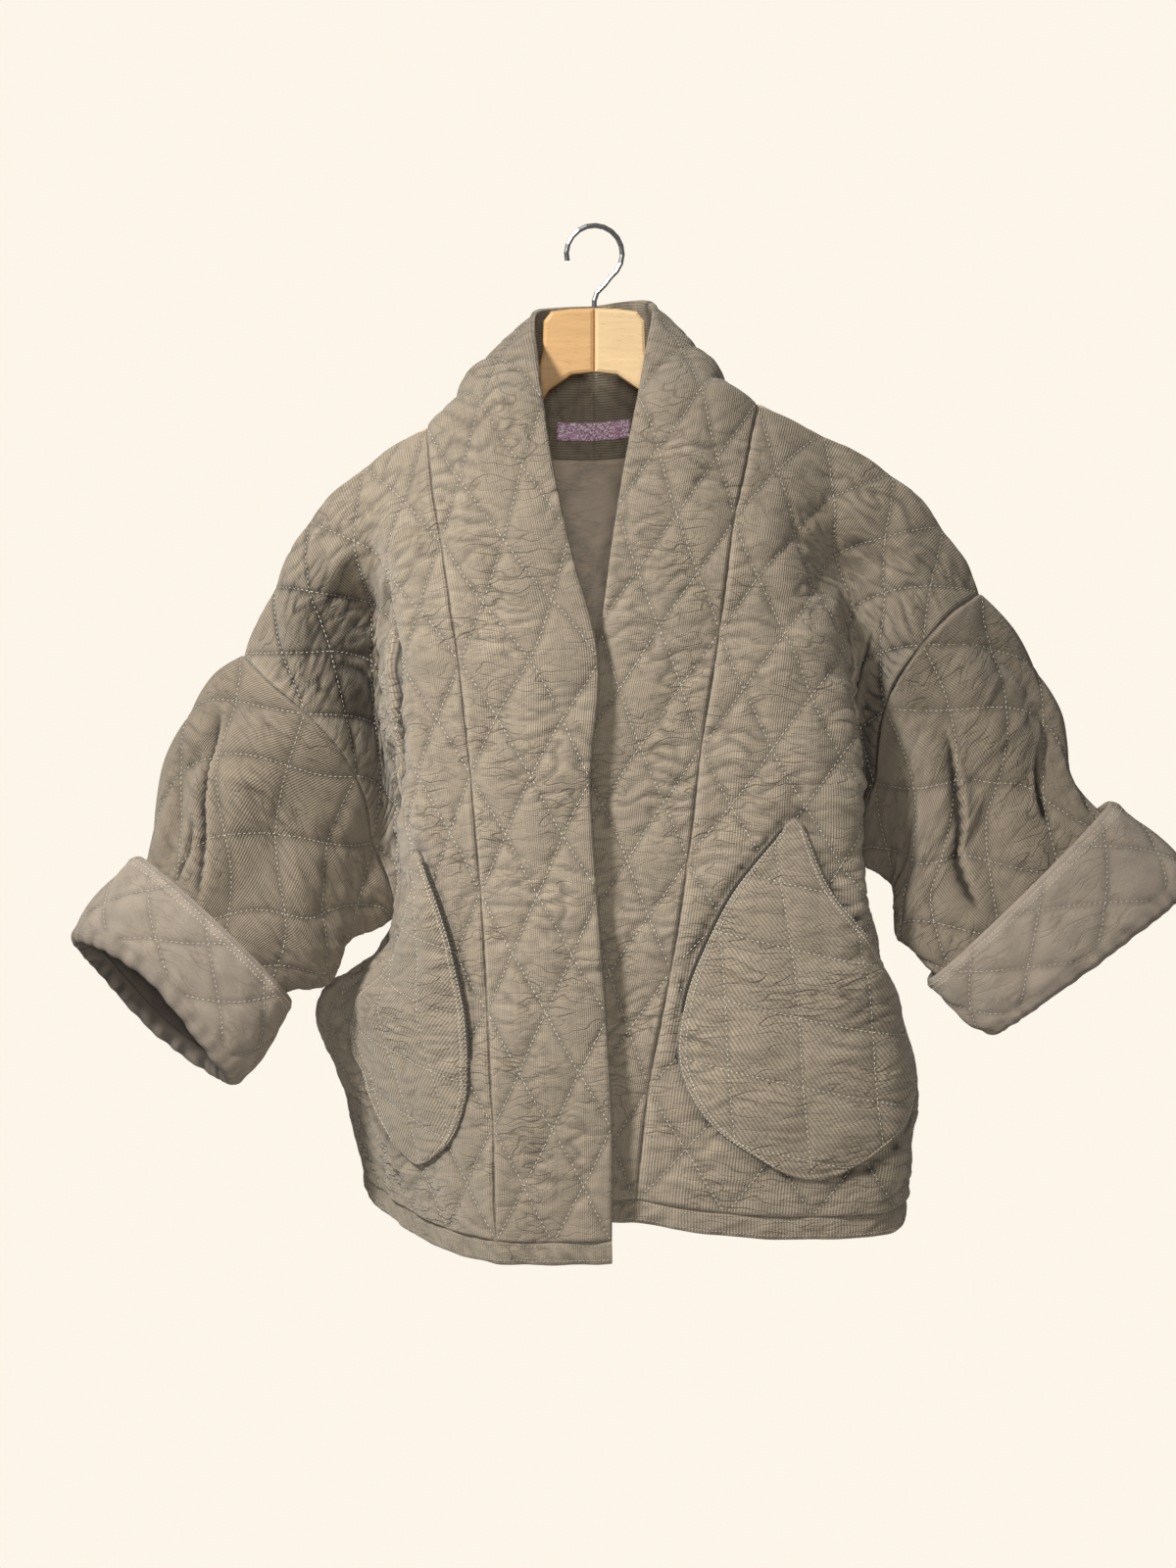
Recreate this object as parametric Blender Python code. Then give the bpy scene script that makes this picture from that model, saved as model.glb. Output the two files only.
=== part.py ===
"""A quilted kimono coat of fine needlecord, hanging open on a wooden hanger.

Metres, +Z up. The front faces -Y, so the wearer's right side is at -X. The origin is
the point where the hanger's hook bears on a rail. Tables hold millimetres.

The cloth is cut in flat panels. Each panel is a grid of columns (across) and rows
(down) through a few hand-made sections. Four columns by four rows are one diamond of
the quilting. Neighbours share the points of their seam, so the walls meet edge to edge.
"""
import math

import bmesh
import bpy
import numpy as np

MM = 0.001

# Counts of grid cells. The quilting repeats every four cells.
DIAMOND = 4
FRONT_COLUMNS = 16
NECK_COLUMNS = 16
BACK_COLUMNS = FRONT_COLUMNS * 2 + NECK_COLUMNS
BODY_ROWS = 28
ARMHOLE_ROWS = 16
BAND_COLUMNS = 8
NECK_ROWS = NECK_COLUMNS // 2
SLEEVE_RING = ARMHOLE_ROWS * 2
SLEEVE_ROWS = 12

# The padded wall, measured from the middle of the cloth.
STITCHED = 2.0
PUFF = 2.4
INSIDE = 2.4
SEAM_INSET = 0.2
# Whether a grid's own normals point out of the coat or into it.
OUTWARD = 1
INWARD = -1

# The hem band, the turned-up cuffs, the pockets and the label.
HEM_HEIGHT = 19.0
CUFF_ROLL = 6.0
RIGHT_POCKET_LIFT = STITCHED + PUFF + 1.8
LEFT_POCKET_LIFT = STITCHED + PUFF + 2.5
POCKET_THICKNESS = 2.4
LABEL_THICKNESS = 0.6
# Places on the collar's inner grid, in its cells: half the label's length, and its edges.
LABEL_REACH = 0.70
LABEL_COLUMNS = (0.52, 0.76, 1.0)

# The hanger: a beech board in two halves and a steel hook.
BOARD_HALF = 6.5
HALVES_GAP = 0.3
HOOK_WIRE = 4.0
HOOK_RADIUS = 22.0
ARM_CLEARANCE = 24.0
ARM_HEIGHT = 18.0
# How far the arm lies forward, and how thin it is, at places out from the middle.
ARM_PLACES = (0, 42, 84, 112, 132, 160, 250)
ARM_DEPTHS = (0, 0, -10, -27, -34, -32, -23)
ARM_TAPER = (1, 1, 0.9, 0.85, 0.8, 0.75, 0.62)
EASED_EDGE = 3.0

# Right front, at the wearer's right. One section a row, from the band's seam over the
# crest, down into the fold beside the sleeve, and out to the armhole or the side seam.
RIGHT_FRONT = {
    0: ((-129, -40, -156), (-169, -34, -180), (-222, -28, -228), (-262, -26, -305), (-278, -25, -336)),
    2: ((-124, -66, -201), (-146, -62, -212), (-172, -48, -232), (-212, -48, -268), (-254, -46, -356)),
    4: ((-117, -81, -243), (-150, -68, -256), (-163, -34, -275), (-178, -18, -292), (-206, -42, -325),
        (-228, -50, -378)),
    8: ((-104, -93, -333), (-147, -77, -338), (-160, -48, -350), (-169, -22, -372), (-180, -14, -402),
        (-192, -28, -431)),
    12: ((-95, -95, -421), (-141, -77, -426), (-153, -46, -438), (-158, -10, -456), (-168, 4, -474),
         (-182, 6, -490)),
    16: ((-88, -95, -513), (-130, -84, -518), (-147, -50, -528), (-152, -12, -541), (-164, 26, -556)),
    18: ((-85, -95, -560), (-126, -82, -563), (-152, -48, -569), (-165, -4, -578), (-176, 34, -592),
         (-182, 50, -598)),
    20: ((-83, -95, -607), (-122, -80, -608), (-160, -44, -612), (-192, 4, -618), (-220, 48, -625),
         (-228, 78, -632)),
    24: ((-79, -95, -701), (-116, -72, -703), (-150, -34, -706), (-180, 12, -708), (-205, 54, -712),
         (-212, 80, -715)),
    28: ((-77, -95, -795), (-110, -66, -797), (-143, -24, -797), (-170, 20, -794), (-190, 55, -790),
         (-196, 76, -786)),
}

# Left front, in the same order. It lies nearly flat to the viewer.
LEFT_FRONT = {
    0: ((125, -40, -138), (150, -34, -150), (200, -30, -174), (245, -27, -203), (285, -23, -252),
        (305, -20, -287)),
    2: ((116, -64, -182), (142, -62, -189), (172, -50, -202), (215, -46, -230), (250, -46, -264),
        (279, -45, -299)),
    4: ((107, -78, -224), (135, -75, -228), (158, -62, -236), (181, -38, -250), (208, -30, -266),
        (236, -44, -292), (257, -54, -323)),
    8: ((96, -85, -311), (140, -84, -313), (178, -76, -320), (194, -62, -327), (202, -28, -345),
        (213, -14, -360), (224, -16, -370), (233, -28, -376)),
    12: ((83, -85, -399), (130, -88, -400), (175, -86, -404), (202, -74, -410), (205, -38, -420),
         (212, -8, -428), (220, 0, -434), (228, -2, -440)),
    16: ((73, -85, -489), (125, -90, -490), (175, -88, -492), (206, -76, -494), (199, -36, -497),
         (212, 25, -500)),
    20: ((60, -85, -577), (115, -92, -579), (170, -90, -581), (214, -82, -583), (229, -62, -585),
         (231, -20, -587), (228, 25, -588)),
    24: ((43, -85, -671), (100, -92, -673), (155, -90, -675), (205, -84, -676), (240, -70, -678),
         (256, -38, -680), (257, 6, -680)),
    28: ((33, -85, -764), (90, -90, -772), (145, -88, -777), (200, -80, -779), (238, -66, -780),
         (252, -34, -780), (253, 6, -778)),
}

# Back, from the wearer's right side to the left. Its edges are drawn onto the fronts.
BACK = {
    0: ((-278, -25, -336), (-222, -20, -228), (-129, -40, -156), (-98, 20, -172), (-52, 60, -180),
        (0, 71, -182), (52, 58, -176), (96, 18, -160), (125, -40, -138), (200, -22, -174),
        (305, -20, -287)),
    4: ((-245, 24, -373), (-190, 44, -310), (-130, 52, -274), (-60, 64, -266), (0, 68, -268),
        (60, 62, -262), (130, 50, -255), (200, 40, -272), (274, 22, -319)),
    8: ((-208, 46, -428), (-168, 57, -385), (-110, 62, -360), (-50, 71, -353), (0, 75, -354),
        (60, 68, -350), (120, 61, -348), (190, 52, -355), (246, 42, -376)),
    12: ((-180, 46, -491), (-140, 64, -465), (-90, 76, -448), (-40, 73, -440), (10, 85, -440),
         (70, 74, -438), (130, 70, -436), (188, 60, -436), (226, 44, -440)),
    16: ((-164, 26, -556), (-150, 58, -550), (-100, 83, -533), (-40, 77, -526), (20, 93, -524),
         (85, 79, -520), (145, 78, -514), (190, 62, -507), (212, 25, -500)),
    20: ((-228, 78, -632), (-188, 98, -625), (-120, 88, -616), (-60, 99, -612), (10, 86, -610),
         (80, 99, -606), (150, 84, -600), (208, 62, -594), (228, 25, -588)),
    24: ((-212, 80, -715), (-180, 104, -710), (-115, 90, -702), (-55, 105, -698), (15, 88, -696),
         (85, 103, -692), (155, 86, -688), (224, 58, -684), (257, 6, -680)),
    28: ((-196, 76, -786), (-168, 107, -788), (-110, 92, -786), (-50, 109, -785), (15, 90, -784),
         (85, 105, -782), (155, 86, -780), (220, 56, -779), (253, 6, -778)),
}

# The armholes behind the shoulder, from the shoulder point down to the underarm.
RIGHT_ARMHOLE_BACK = ((-278, -25, -336), (-262, 8, -352), (-232, 36, -390), (-203, 48, -435),
                      (-184, 50, -480), (-173, 53, -530), (-164, 26, -556))
LEFT_ARMHOLE_BACK = ((305, -20, -287), (290, 10, -302), (264, 34, -335), (243, 46, -380),
                     (230, 52, -430), (220, 54, -476), (212, 25, -500))

# The front bands. Rows count from the centre back: eight round the neck, then the front.
# Columns: row, the free edge's x, y, z, and how far the band bows outwards.
RIGHT_BAND_EDGE = (
    (0, 0, 55, -58, 0),
    (2, -34, 45, -60, 4),
    (4, -47, 12, -68, 17),
    (6, -44, -28, -98, 24),
    (8, -39, -57, -138, 13),
    (10, -32, -76, -182, 8),
    (12, -20, -89, -238, 6),
    (16, 3, -98, -330, 5),
    (20, -3, -102, -421, 5),
    (24, 2, -103, -513, 5),
    (28, 9, -104, -608, 5),
    (32, 14, -105, -700, 4),
    (36, 14, -106, -791, 3),
)
LEFT_BAND_EDGE = (
    (0, 0, 55, -58, 0),
    (2, 34, 45, -54, 4),
    (4, 46, 12, -62, 17),
    (6, 40, -28, -94, 23),
    (8, 33, -56, -132, 12),
    (10, 25, -73, -172, 8),
    (12, 17, -79, -218, 6),
    (16, 5, -82, -306, 3),
    (20, -12, -80, -401, 2),
    (24, -22, -80, -491, 2),
    (28, -35, -80, -579, 2),
    (32, -50, -80, -671, 2),
    (36, -60, -80, -764, 2),
)

# The sleeves are flattened tubes. Columns: row, the upper fold, the lower fold, and how
# deep the tube is in front of and behind the plane through both folds.
RIGHT_SLEEVE = (
    (0, (-278, -25, -336), (-164, 26, -556), 30, 40),
    (3, (-312, -14, -368), (-202, 4, -568), 42, 40),
    (6, (-341, -16, -426), (-220, -12, -600), 46, 34),
    (8.5, (-357, -31, -504), (-254, -31, -606), 42, 36),
    (12, (-402, -56, -557), (-291, -56, -662), 36, 36),
)
LEFT_SLEEVE = (
    (0, (305, -20, -287), (212, 25, -500), 30, 40),
    (3, (342, -10, -334), (246, 4, -522), 42, 42),
    (6, (370, -14, -386), (250, -14, -560), 36, 32),
    (8.5, (384, -30, -443), (264, -30, -575), 22, 20),
    (12, (465, -39, -514), (323, -39, -628), 16, 16),
)

# The cuff's section: how far it lies from the opening, and how far outside the sleeve.
CUFF_SECTION = (
    (11, 0), (4, 0.8), (0, CUFF_ROLL), (4, 2 * CUFF_ROLL - 0.8), (14, 2 * CUFF_ROLL),
    (31, 2 * CUFF_ROLL + 1), (48, 2 * CUFF_ROLL + 1), (65, 2 * CUFF_ROLL + 0.5), (82, 2 * CUFF_ROLL - 0.5),
)
SLEEVE_END = 11.7

# Pockets, as places on the front panel's grid: inner edge and outer edge, (column, row).
RIGHT_POCKET = (
    ((4.3, 14.6), (5.3, 14.6)), ((2.6, 17.0), (6.8, 16.8)), ((1.3, 19.6), (8.6, 18.8)),
    ((1.1, 21.4), (10.2, 20.6)), ((1.5, 23.2), (11.0, 22.4)), ((2.7, 24.6), (10.4, 24.0)),
    ((4.4, 25.4), (8.4, 25.2)),
)
LEFT_POCKET = (
    ((5.0, 14.6), (5.9, 14.6)), ((2.5, 17.0), (7.3, 16.8)), ((1.2, 19.6), (9.4, 18.7)),
    ((0.9, 21.4), (11.6, 20.4)), ((1.3, 23.3), (13.2, 22.3)), ((3.0, 25.1), (12.8, 24.4)),
    ((6.0, 26.4), (10.2, 26.1)),
)

# The largest folds. Columns: start (column, row), end (column, row), height in mm
# (below zero is a trough), and half width in mm.
RIGHT_FRONT_FOLDS = (
    ((6.5, 5.0), (11.5, 7.5), -3, 14),
    ((5.5, 8.5), (10.5, 10.5), 4, 14),
    ((6.0, 11.0), (11.0, 12.5), -6, 12),
    ((2.5, 3.0), (9.0, 5.5), 5, 14),
    ((5.0, 19.5), (12.0, 17.5), -6, 14),
    ((8.0, 26.5), (14.0, 23.0), 5, 16),
)
LEFT_FRONT_FOLDS = (
    ((8.5, 2.5), (12.0, 4.5), -2, 16),
    ((2.5, 9.5), (8.0, 6.5), 3, 14),
    ((9.5, 13.0), (12.5, 16.0), 5, 13),
    ((9.0, 19.0), (14.0, 20.5), -5, 13),
)
BACK_FOLDS = (
    ((13.0, 6.0), (9.0, 17.0), -7, 22),
    ((35.0, 6.0), (39.0, 17.0), -7, 22),
    ((20.0, 8.0), (17.0, 26.0), 6, 24),
    ((29.0, 9.0), (32.0, 26.0), 6, 24),
)
RIGHT_SLEEVE_FOLDS = (
    ((2.5, 1.5), (3.0, 8.0), -9, 12),
    ((5.0, 1.0), (6.0, 8.0), 6, 14),
    ((8.0, 2.0), (8.5, 8.0), -5, 14),
    ((27.0, 2.0), (26.0, 8.0), -7, 16),
)
LEFT_SLEEVE_FOLDS = (
    ((2.0, 1.0), (2.5, 8.0), -6, 12),
    ((7.0, 1.5), (7.5, 8.0), -9, 12),
    ((4.6, 1.5), (5.0, 7.0), 6, 14),
    ((27.0, 2.0), (26.0, 8.0), -6, 16),
)

COLOURS = {
    "needlecord": ((0.285, 0.245, 0.192, 1), 0.95, 0.0),
    "lining": ((0.352, 0.302, 0.243, 1), 0.93, 0.0),
    "label": ((0.42, 0.27, 0.38, 1), 0.6, 0.1),
    "beech": ((0.70, 0.43, 0.22, 1), 0.5, 0.0),
    "steel": ((0.62, 0.62, 0.63, 1), 0.3, 1.0),
}


def clear_scene():
    """Empties the file, so that the model starts from nothing."""
    for thing in list(bpy.data.objects):
        bpy.data.objects.remove(thing, do_unlink=True)


def material(name):
    """One Principled BSDF for each kind of stuff."""
    made = bpy.data.materials.get(name)
    if made is None:
        colour, roughness, metallic = COLOURS[name]
        made = bpy.data.materials.new(name)
        made.use_nodes = True
        shader = made.node_tree.nodes["Principled BSDF"]
        shader.inputs["Base Color"].default_value = colour
        shader.inputs["Roughness"].default_value = roughness
        shader.inputs["Metallic"].default_value = metallic
        made.diffuse_color = colour
    return made


# Curves and lofts

def smooth_between(keys, values, at):
    """Values at the places in at, on a smooth curve through values at keys."""
    keys = np.asarray(keys, float)
    values = np.asarray(values, float)
    at = np.asarray(at, float)
    slopes = np.gradient(values, keys, axis=0)
    span = np.clip(np.searchsorted(keys, at, side="right") - 1, 0, len(keys) - 2)
    width = keys[span + 1] - keys[span]
    t = ((at - keys[span]) / width).reshape(-1, *[1] * (values.ndim - 1))
    width = width.reshape(t.shape)
    return ((2 * t**3 - 3 * t**2 + 1) * values[span] + (t**3 - 2 * t**2 + t) * width * slopes[span]
            + (3 * t**2 - 2 * t**3) * values[span + 1] + (t**3 - t**2) * width * slopes[span + 1])


def evenly(points, shares):
    """Points at these shares of the length of a smooth line through the given ones."""
    points = np.asarray(points, float)
    steps = np.linalg.norm(np.diff(points, axis=0), axis=1)
    keys = np.concatenate([[0], np.cumsum(steps)])
    fine = smooth_between(keys, points, np.linspace(0, keys[-1], 240))
    along = np.concatenate([[0], np.cumsum(np.linalg.norm(np.diff(fine, axis=0), axis=1))])
    places = np.asarray(shares, float) * along[-1]
    return np.stack([np.interp(places, along, fine[:, k]) for k in range(3)], axis=1)


def panel(sections, columns, rows=BODY_ROWS):
    """A grid of (rows + 1) by (columns + 1) points through a table of sections."""
    shares = np.linspace(0, 1, columns + 1)
    curves = [evenly(section, shares) for section in sections.values()]
    return smooth_between(list(sections), curves, np.arange(rows + 1))


def grid_normals(grid, around=False):
    """Unit normals of a grid: across the columns times down the rows."""
    if around:
        across = np.roll(grid, -1, axis=1) - np.roll(grid, 1, axis=1)
    else:
        across = np.gradient(grid, axis=1)
    down = np.gradient(grid, axis=0)
    normals = np.cross(across, down)
    return normals / np.maximum(np.linalg.norm(normals, axis=2, keepdims=True), 1e-9)


def fold(grid, folds, outward, around=False):
    """Presses a table of folds into a grid. Its open edges stay where they are."""
    rows, columns = grid.shape[:2]
    down, across = np.mgrid[0:rows, 0:columns].astype(float)
    cell_across, cell_down = 14.0, 20.0
    lift = np.zeros((rows, columns))
    for (c0, r0), (c1, r1), height, half_width in folds:
        along = np.array([(c1 - c0) * cell_across, (r1 - r0) * cell_down])
        length = np.linalg.norm(along)
        dx = (across - c0) * cell_across
        dy = (down - r0) * cell_down
        share = np.clip((dx * along[0] + dy * along[1]) / length**2, 0, 1)
        off = np.hypot(dx - share * along[0], dy - share * along[1])
        lift += height * np.sin(math.pi * (0.15 + 0.7 * share)) * np.exp(-((off / half_width) ** 2))
    edge = np.minimum(down, rows - 1 - down)
    if not around:
        edge = np.minimum(edge, np.minimum(across, columns - 1 - across))
    lift *= np.clip(edge / 2, 0, 1)
    return grid + outward * grid_normals(grid, around) * lift[:, :, None]


def draw_edge(grid, edge, target, reach):
    """Moves one edge of a grid onto the target, and less and less of what lies behind it."""
    count = {"first_column": grid.shape[1], "last_column": grid.shape[1], "first_row": grid.shape[0]}[edge]
    share = np.clip(1 - np.arange(count) / reach, 0, 1)
    share = share * share * (3 - 2 * share)
    if edge == "first_column":
        grid += (target - grid[:, 0])[:, None] * share[None, :, None]
    elif edge == "last_column":
        grid += (target - grid[:, -1])[:, None] * share[::-1][None, :, None]
    else:
        grid += (target - grid[0])[None] * share[:, None, None]


# The panels

def back_grid(right_front, left_front):
    """The back, whose shoulders and side seams are the fronts' own points."""
    grid = panel(BACK, BACK_COLUMNS)
    grid = fold(grid, BACK_FOLDS, OUTWARD)
    shares = np.linspace(0, 1, ARMHOLE_ROWS + 1)
    for edge, armhole, front in (
        ("first_column", RIGHT_ARMHOLE_BACK, right_front), ("last_column", LEFT_ARMHOLE_BACK, left_front),
    ):
        target = front[:, -1].copy()
        target[: ARMHOLE_ROWS + 1] = evenly(armhole, shares)
        target[0] = front[0, -1]
        target[ARMHOLE_ROWS] = front[ARMHOLE_ROWS, -1]
        draw_edge(grid, edge, target, 7)
    neck = evenly(BACK[0][2:9], np.linspace(0, 1, NECK_COLUMNS + 1))
    top = np.concatenate([right_front[0, ::-1], neck[1:-1], left_front[0]])
    draw_edge(grid, "first_row", top, 5)
    return grid


def band_grid(front, neck_half, edge_table):
    """A front band: from the centre back round the neck and down the front edge."""
    seam = np.concatenate([neck_half[:-1], front[:, 0]])
    rows = len(seam) - 1
    table = np.array(edge_table, float)
    edge = smooth_between(table[:, 0], table[:, 1:], np.arange(rows + 1))
    free, bow = edge[:, :3], edge[:, 3]
    along = np.gradient(seam + free, axis=0)
    outward = np.cross(free - seam, along)
    outward /= np.linalg.norm(outward, axis=1, keepdims=True)
    share = np.linspace(0, 1, BAND_COLUMNS + 1)[None, :, None]
    side = -1 if front[0, 0, 0] < 0 else 1
    flat = seam[:, None] * (1 - share) + free[:, None] * share
    return flat + side * (outward * bow[:, None])[:, None] * (4 * share * (1 - share))


def oval(upper, lower, front, behind, axis, count=SLEEVE_RING, grow=0.0):
    """A flattened ring: the upper fold first, then the front, the lower fold, the back."""
    upper, lower = np.asarray(upper, float), np.asarray(lower, float)
    middle = (upper + lower) / 2
    wide = (upper - lower) / 2
    half = np.linalg.norm(wide)
    wide_way = wide / half
    depth_way = np.cross(axis, wide_way)
    depth_way /= np.linalg.norm(depth_way)
    if depth_way[1] > 0:
        depth_way = -depth_way
    turn = np.arange(count) * 2 * math.pi / count
    wide_part = np.cos(turn) * (half + grow)
    depth = np.where(np.sin(turn) >= 0, front + grow, behind + grow)
    depth_part = np.sign(np.sin(turn)) * np.abs(np.sin(turn)) ** 0.85 * depth
    return middle + wide_part[:, None] * wide_way + depth_part[:, None] * depth_way


def sleeve_sizes(table, rows):
    """The sleeve's folds and depths at any rows, and its axis there."""
    keys = [row[0] for row in table]
    values = [(*row[1], *row[2], row[3], row[4]) for row in table]
    sizes = smooth_between(keys, values, rows)
    fine = smooth_between(keys, values, np.linspace(0, keys[-1], 60))
    centres = (fine[:, :3] + fine[:, 3:6]) / 2
    axes = np.gradient(centres, axis=0)
    at = np.interp(rows, np.linspace(0, keys[-1], 60), np.arange(60))
    axes = np.stack([np.interp(at, np.arange(60), axes[:, k]) for k in range(3)], axis=1)
    return sizes, axes / np.linalg.norm(axes, axis=1, keepdims=True)


def sleeve_grid(table, front, back_edge, folds, outward):
    """A sleeve, whose first ring is the armhole that the front and the back leave."""
    rows = np.arange(SLEEVE_ROWS + 1)
    sizes, axes = sleeve_sizes(table, rows)
    rings = np.array([oval(s[:3], s[3:6], s[6], s[7], a) for s, a in zip(sizes, axes)])
    armhole = np.concatenate([front[: ARMHOLE_ROWS + 1, -1], back_edge[1:ARMHOLE_ROWS][::-1]])
    fade = np.clip(1 - rows / 7, 0, 1) ** 2
    rings = rings + (armhole - rings[0])[None] * fade[:, None, None]
    rings = fold(rings, folds, outward, around=True)
    rings[0] = armhole
    lip = cuff_places(table, SLEEVE_END)
    rings[-1] = oval(lip[:3], lip[3:6], lip[6], lip[7], cuff_axis(table))
    return rings


def cuff_axis(table):
    """The way out of the sleeve along the cuff."""
    middles = [(np.array(row[1]) + np.array(row[2])) / 2 for row in table[-2:]]
    axis = middles[1] - middles[0]
    return axis / np.linalg.norm(axis)


def cuff_places(table, distance):
    """The folds and depths of the sleeve at a distance from its opening."""
    edge = np.array((*table[3][1], *table[3][2], table[3][3], table[3][4]), float)
    end = np.array((*table[4][1], *table[4][2], table[4][3], table[4][4]), float)
    axis_length = np.linalg.norm((end[:3] + end[3:6] - edge[:3] - edge[3:6]) / 2)
    share = (distance - 10.0) / axis_length
    return end + (edge - end) * share


def cuff_grid(table):
    """The end of the sleeve turned out and up, from just inside the opening."""
    rings = []
    for distance, grow in CUFF_SECTION:
        place = cuff_places(table, distance)
        rings.append(oval(place[:3], place[3:6], place[6], place[7], cuff_axis(table), grow=grow))
    return np.array(rings)


def hem_grid(edge, sides):
    """The narrow hem below a row of points, with the waves that its gathers give it."""
    count = len(edge)
    wave = np.sin(np.arange(count) * 1.9) * 1.2
    wave[[0, -1]] = 0
    rows = []
    for share in (0.0, 0.5, 1.0):
        drop = np.zeros((count, 3))
        drop[:, 2] = -HEM_HEIGHT * share
        drop += sides * (wave * share)[:, None]
        rows.append(edge + drop)
    return np.array(rows)


# Walls

def quilting(rows, columns, first_row=0.0, first_column=0.0, around=False):
    """How high the padding stands at each point, from 0 on a stitched line to 1."""
    down, across = np.mgrid[0:rows, 0:columns].astype(float)
    one = (across + first_column + down + first_row) / DIAMOND
    other = (across + first_column - down - first_row) / DIAMOND
    height = np.abs(np.sin(math.pi * one) * np.sin(math.pi * other)) ** 0.6
    if not around:
        height[:, [0, -1]] *= 0.4
    height[[0, -1]] *= 0.4
    return height


def turn_slowly(sums, ring):
    """Evens the normals along an armhole, so that they turn slowly at the underarm."""
    for _ in range(2):
        found = np.array([sums[place] / np.linalg.norm(sums[place]) for place in ring])
        evened = np.roll(found, 1, axis=0) + found + np.roll(found, -1, axis=0)
        for place, normal in zip(ring, evened):
            sums[place] = normal


def shared_normals(grids):
    """Normals at each grid's points, averaged over all the panels that share the point."""
    sums = {}
    keys = {}
    for name, (grid, outward, around) in grids.items():
        rows, columns = grid.shape[:2]
        own = outward * grid_normals(grid, around)
        rounded = np.round(grid * 50).astype(int)
        keys[name] = [[tuple(rounded[r, c]) for c in range(columns)] for r in range(rows)]
        for r in range(rows):
            for c in range(columns):
                place = keys[name][r][c]
                sums[place] = sums.get(place, 0) + own[r, c]
    for name, (_, _, around) in grids.items():
        if around:
            turn_slowly(sums, keys[name][0])
    normals = {}
    for name, rows_of_keys in keys.items():
        found = np.array([[sums[place] for place in row] for row in rows_of_keys])
        normals[name] = found / np.linalg.norm(found, axis=2, keepdims=True)
    return normals


def inset(grid, edges, around=False):
    """Draws the named edges of a grid back by half the gap of a seam, square to the seam."""
    moved = grid.copy()
    lines = {
        "top": (np.s_[0], grid[0], grid[1]),
        "bottom": (np.s_[-1], grid[-1], grid[-2]),
        "left": (np.s_[:, 0], grid[:, 0], grid[:, 1]),
        "right": (np.s_[:, -1], grid[:, -1], grid[:, -2]),
    }
    for edge in edges:
        place, line, behind = lines[edge]
        if around:
            along = np.roll(line, -1, axis=0) - np.roll(line, 1, axis=0)
        else:
            along = np.gradient(line, axis=0)
        along /= np.linalg.norm(along, axis=1, keepdims=True)
        step = behind - line
        step -= along * np.sum(step * along, axis=1, keepdims=True)
        moved[place] += step * SEAM_INSET / np.linalg.norm(step, axis=1, keepdims=True)
    return moved


def collection(name):
    """The collection that holds the coat."""
    made = bpy.data.collections.get(name)
    if made is None:
        made = bpy.data.collections.new(name)
        bpy.context.scene.collection.children.link(made)
    return made


def solid_from(name, build, finish):
    """An object from a bmesh, with its faces turned out, in the coat's collection."""
    mesh = bpy.data.meshes.new(name)
    build.normal_update()
    bmesh.ops.recalc_face_normals(build, faces=build.faces)
    build.to_mesh(mesh)
    build.free()
    mesh.materials.append(material(finish))
    mesh.shade_smooth()
    thing = bpy.data.objects.new(name, mesh)
    collection("kimono_coat").objects.link(thing)
    return thing


def quilt_faces(build, points, rows, columns, around, first_row, first_column):
    """Two triangles a cell, whose shared side lies along a stitched line where one passes."""
    for r in range(rows - 1):
        for c in range(columns if around else columns - 1):
            d = (c + 1) % columns
            a, b = points[r][c], points[r][d]
            e, f = points[r + 1][c], points[r + 1][d]
            falls = round(c + first_column - r - first_row) % DIAMOND == 0
            pairs = ((a, b, f), (a, f, e)) if falls else ((a, b, e), (b, f, e))
            for corners in pairs:
                build.faces.new(corners)


def straighten_rims(inside, around):
    """Puts every second point of a rim between its neighbours, as the coarser walls have it."""
    for line in (inside[0], inside[-1]):
        line[1:-1:2] = (line[0:-2:2] + line[2::2]) / 2
        if around:
            line[-1] = (line[-2] + line[0]) / 2
    if not around:
        for line in (inside[:, 0], inside[:, -1]):
            line[1:-1:2] = (line[0:-2:2] + line[2::2]) / 2


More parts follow.
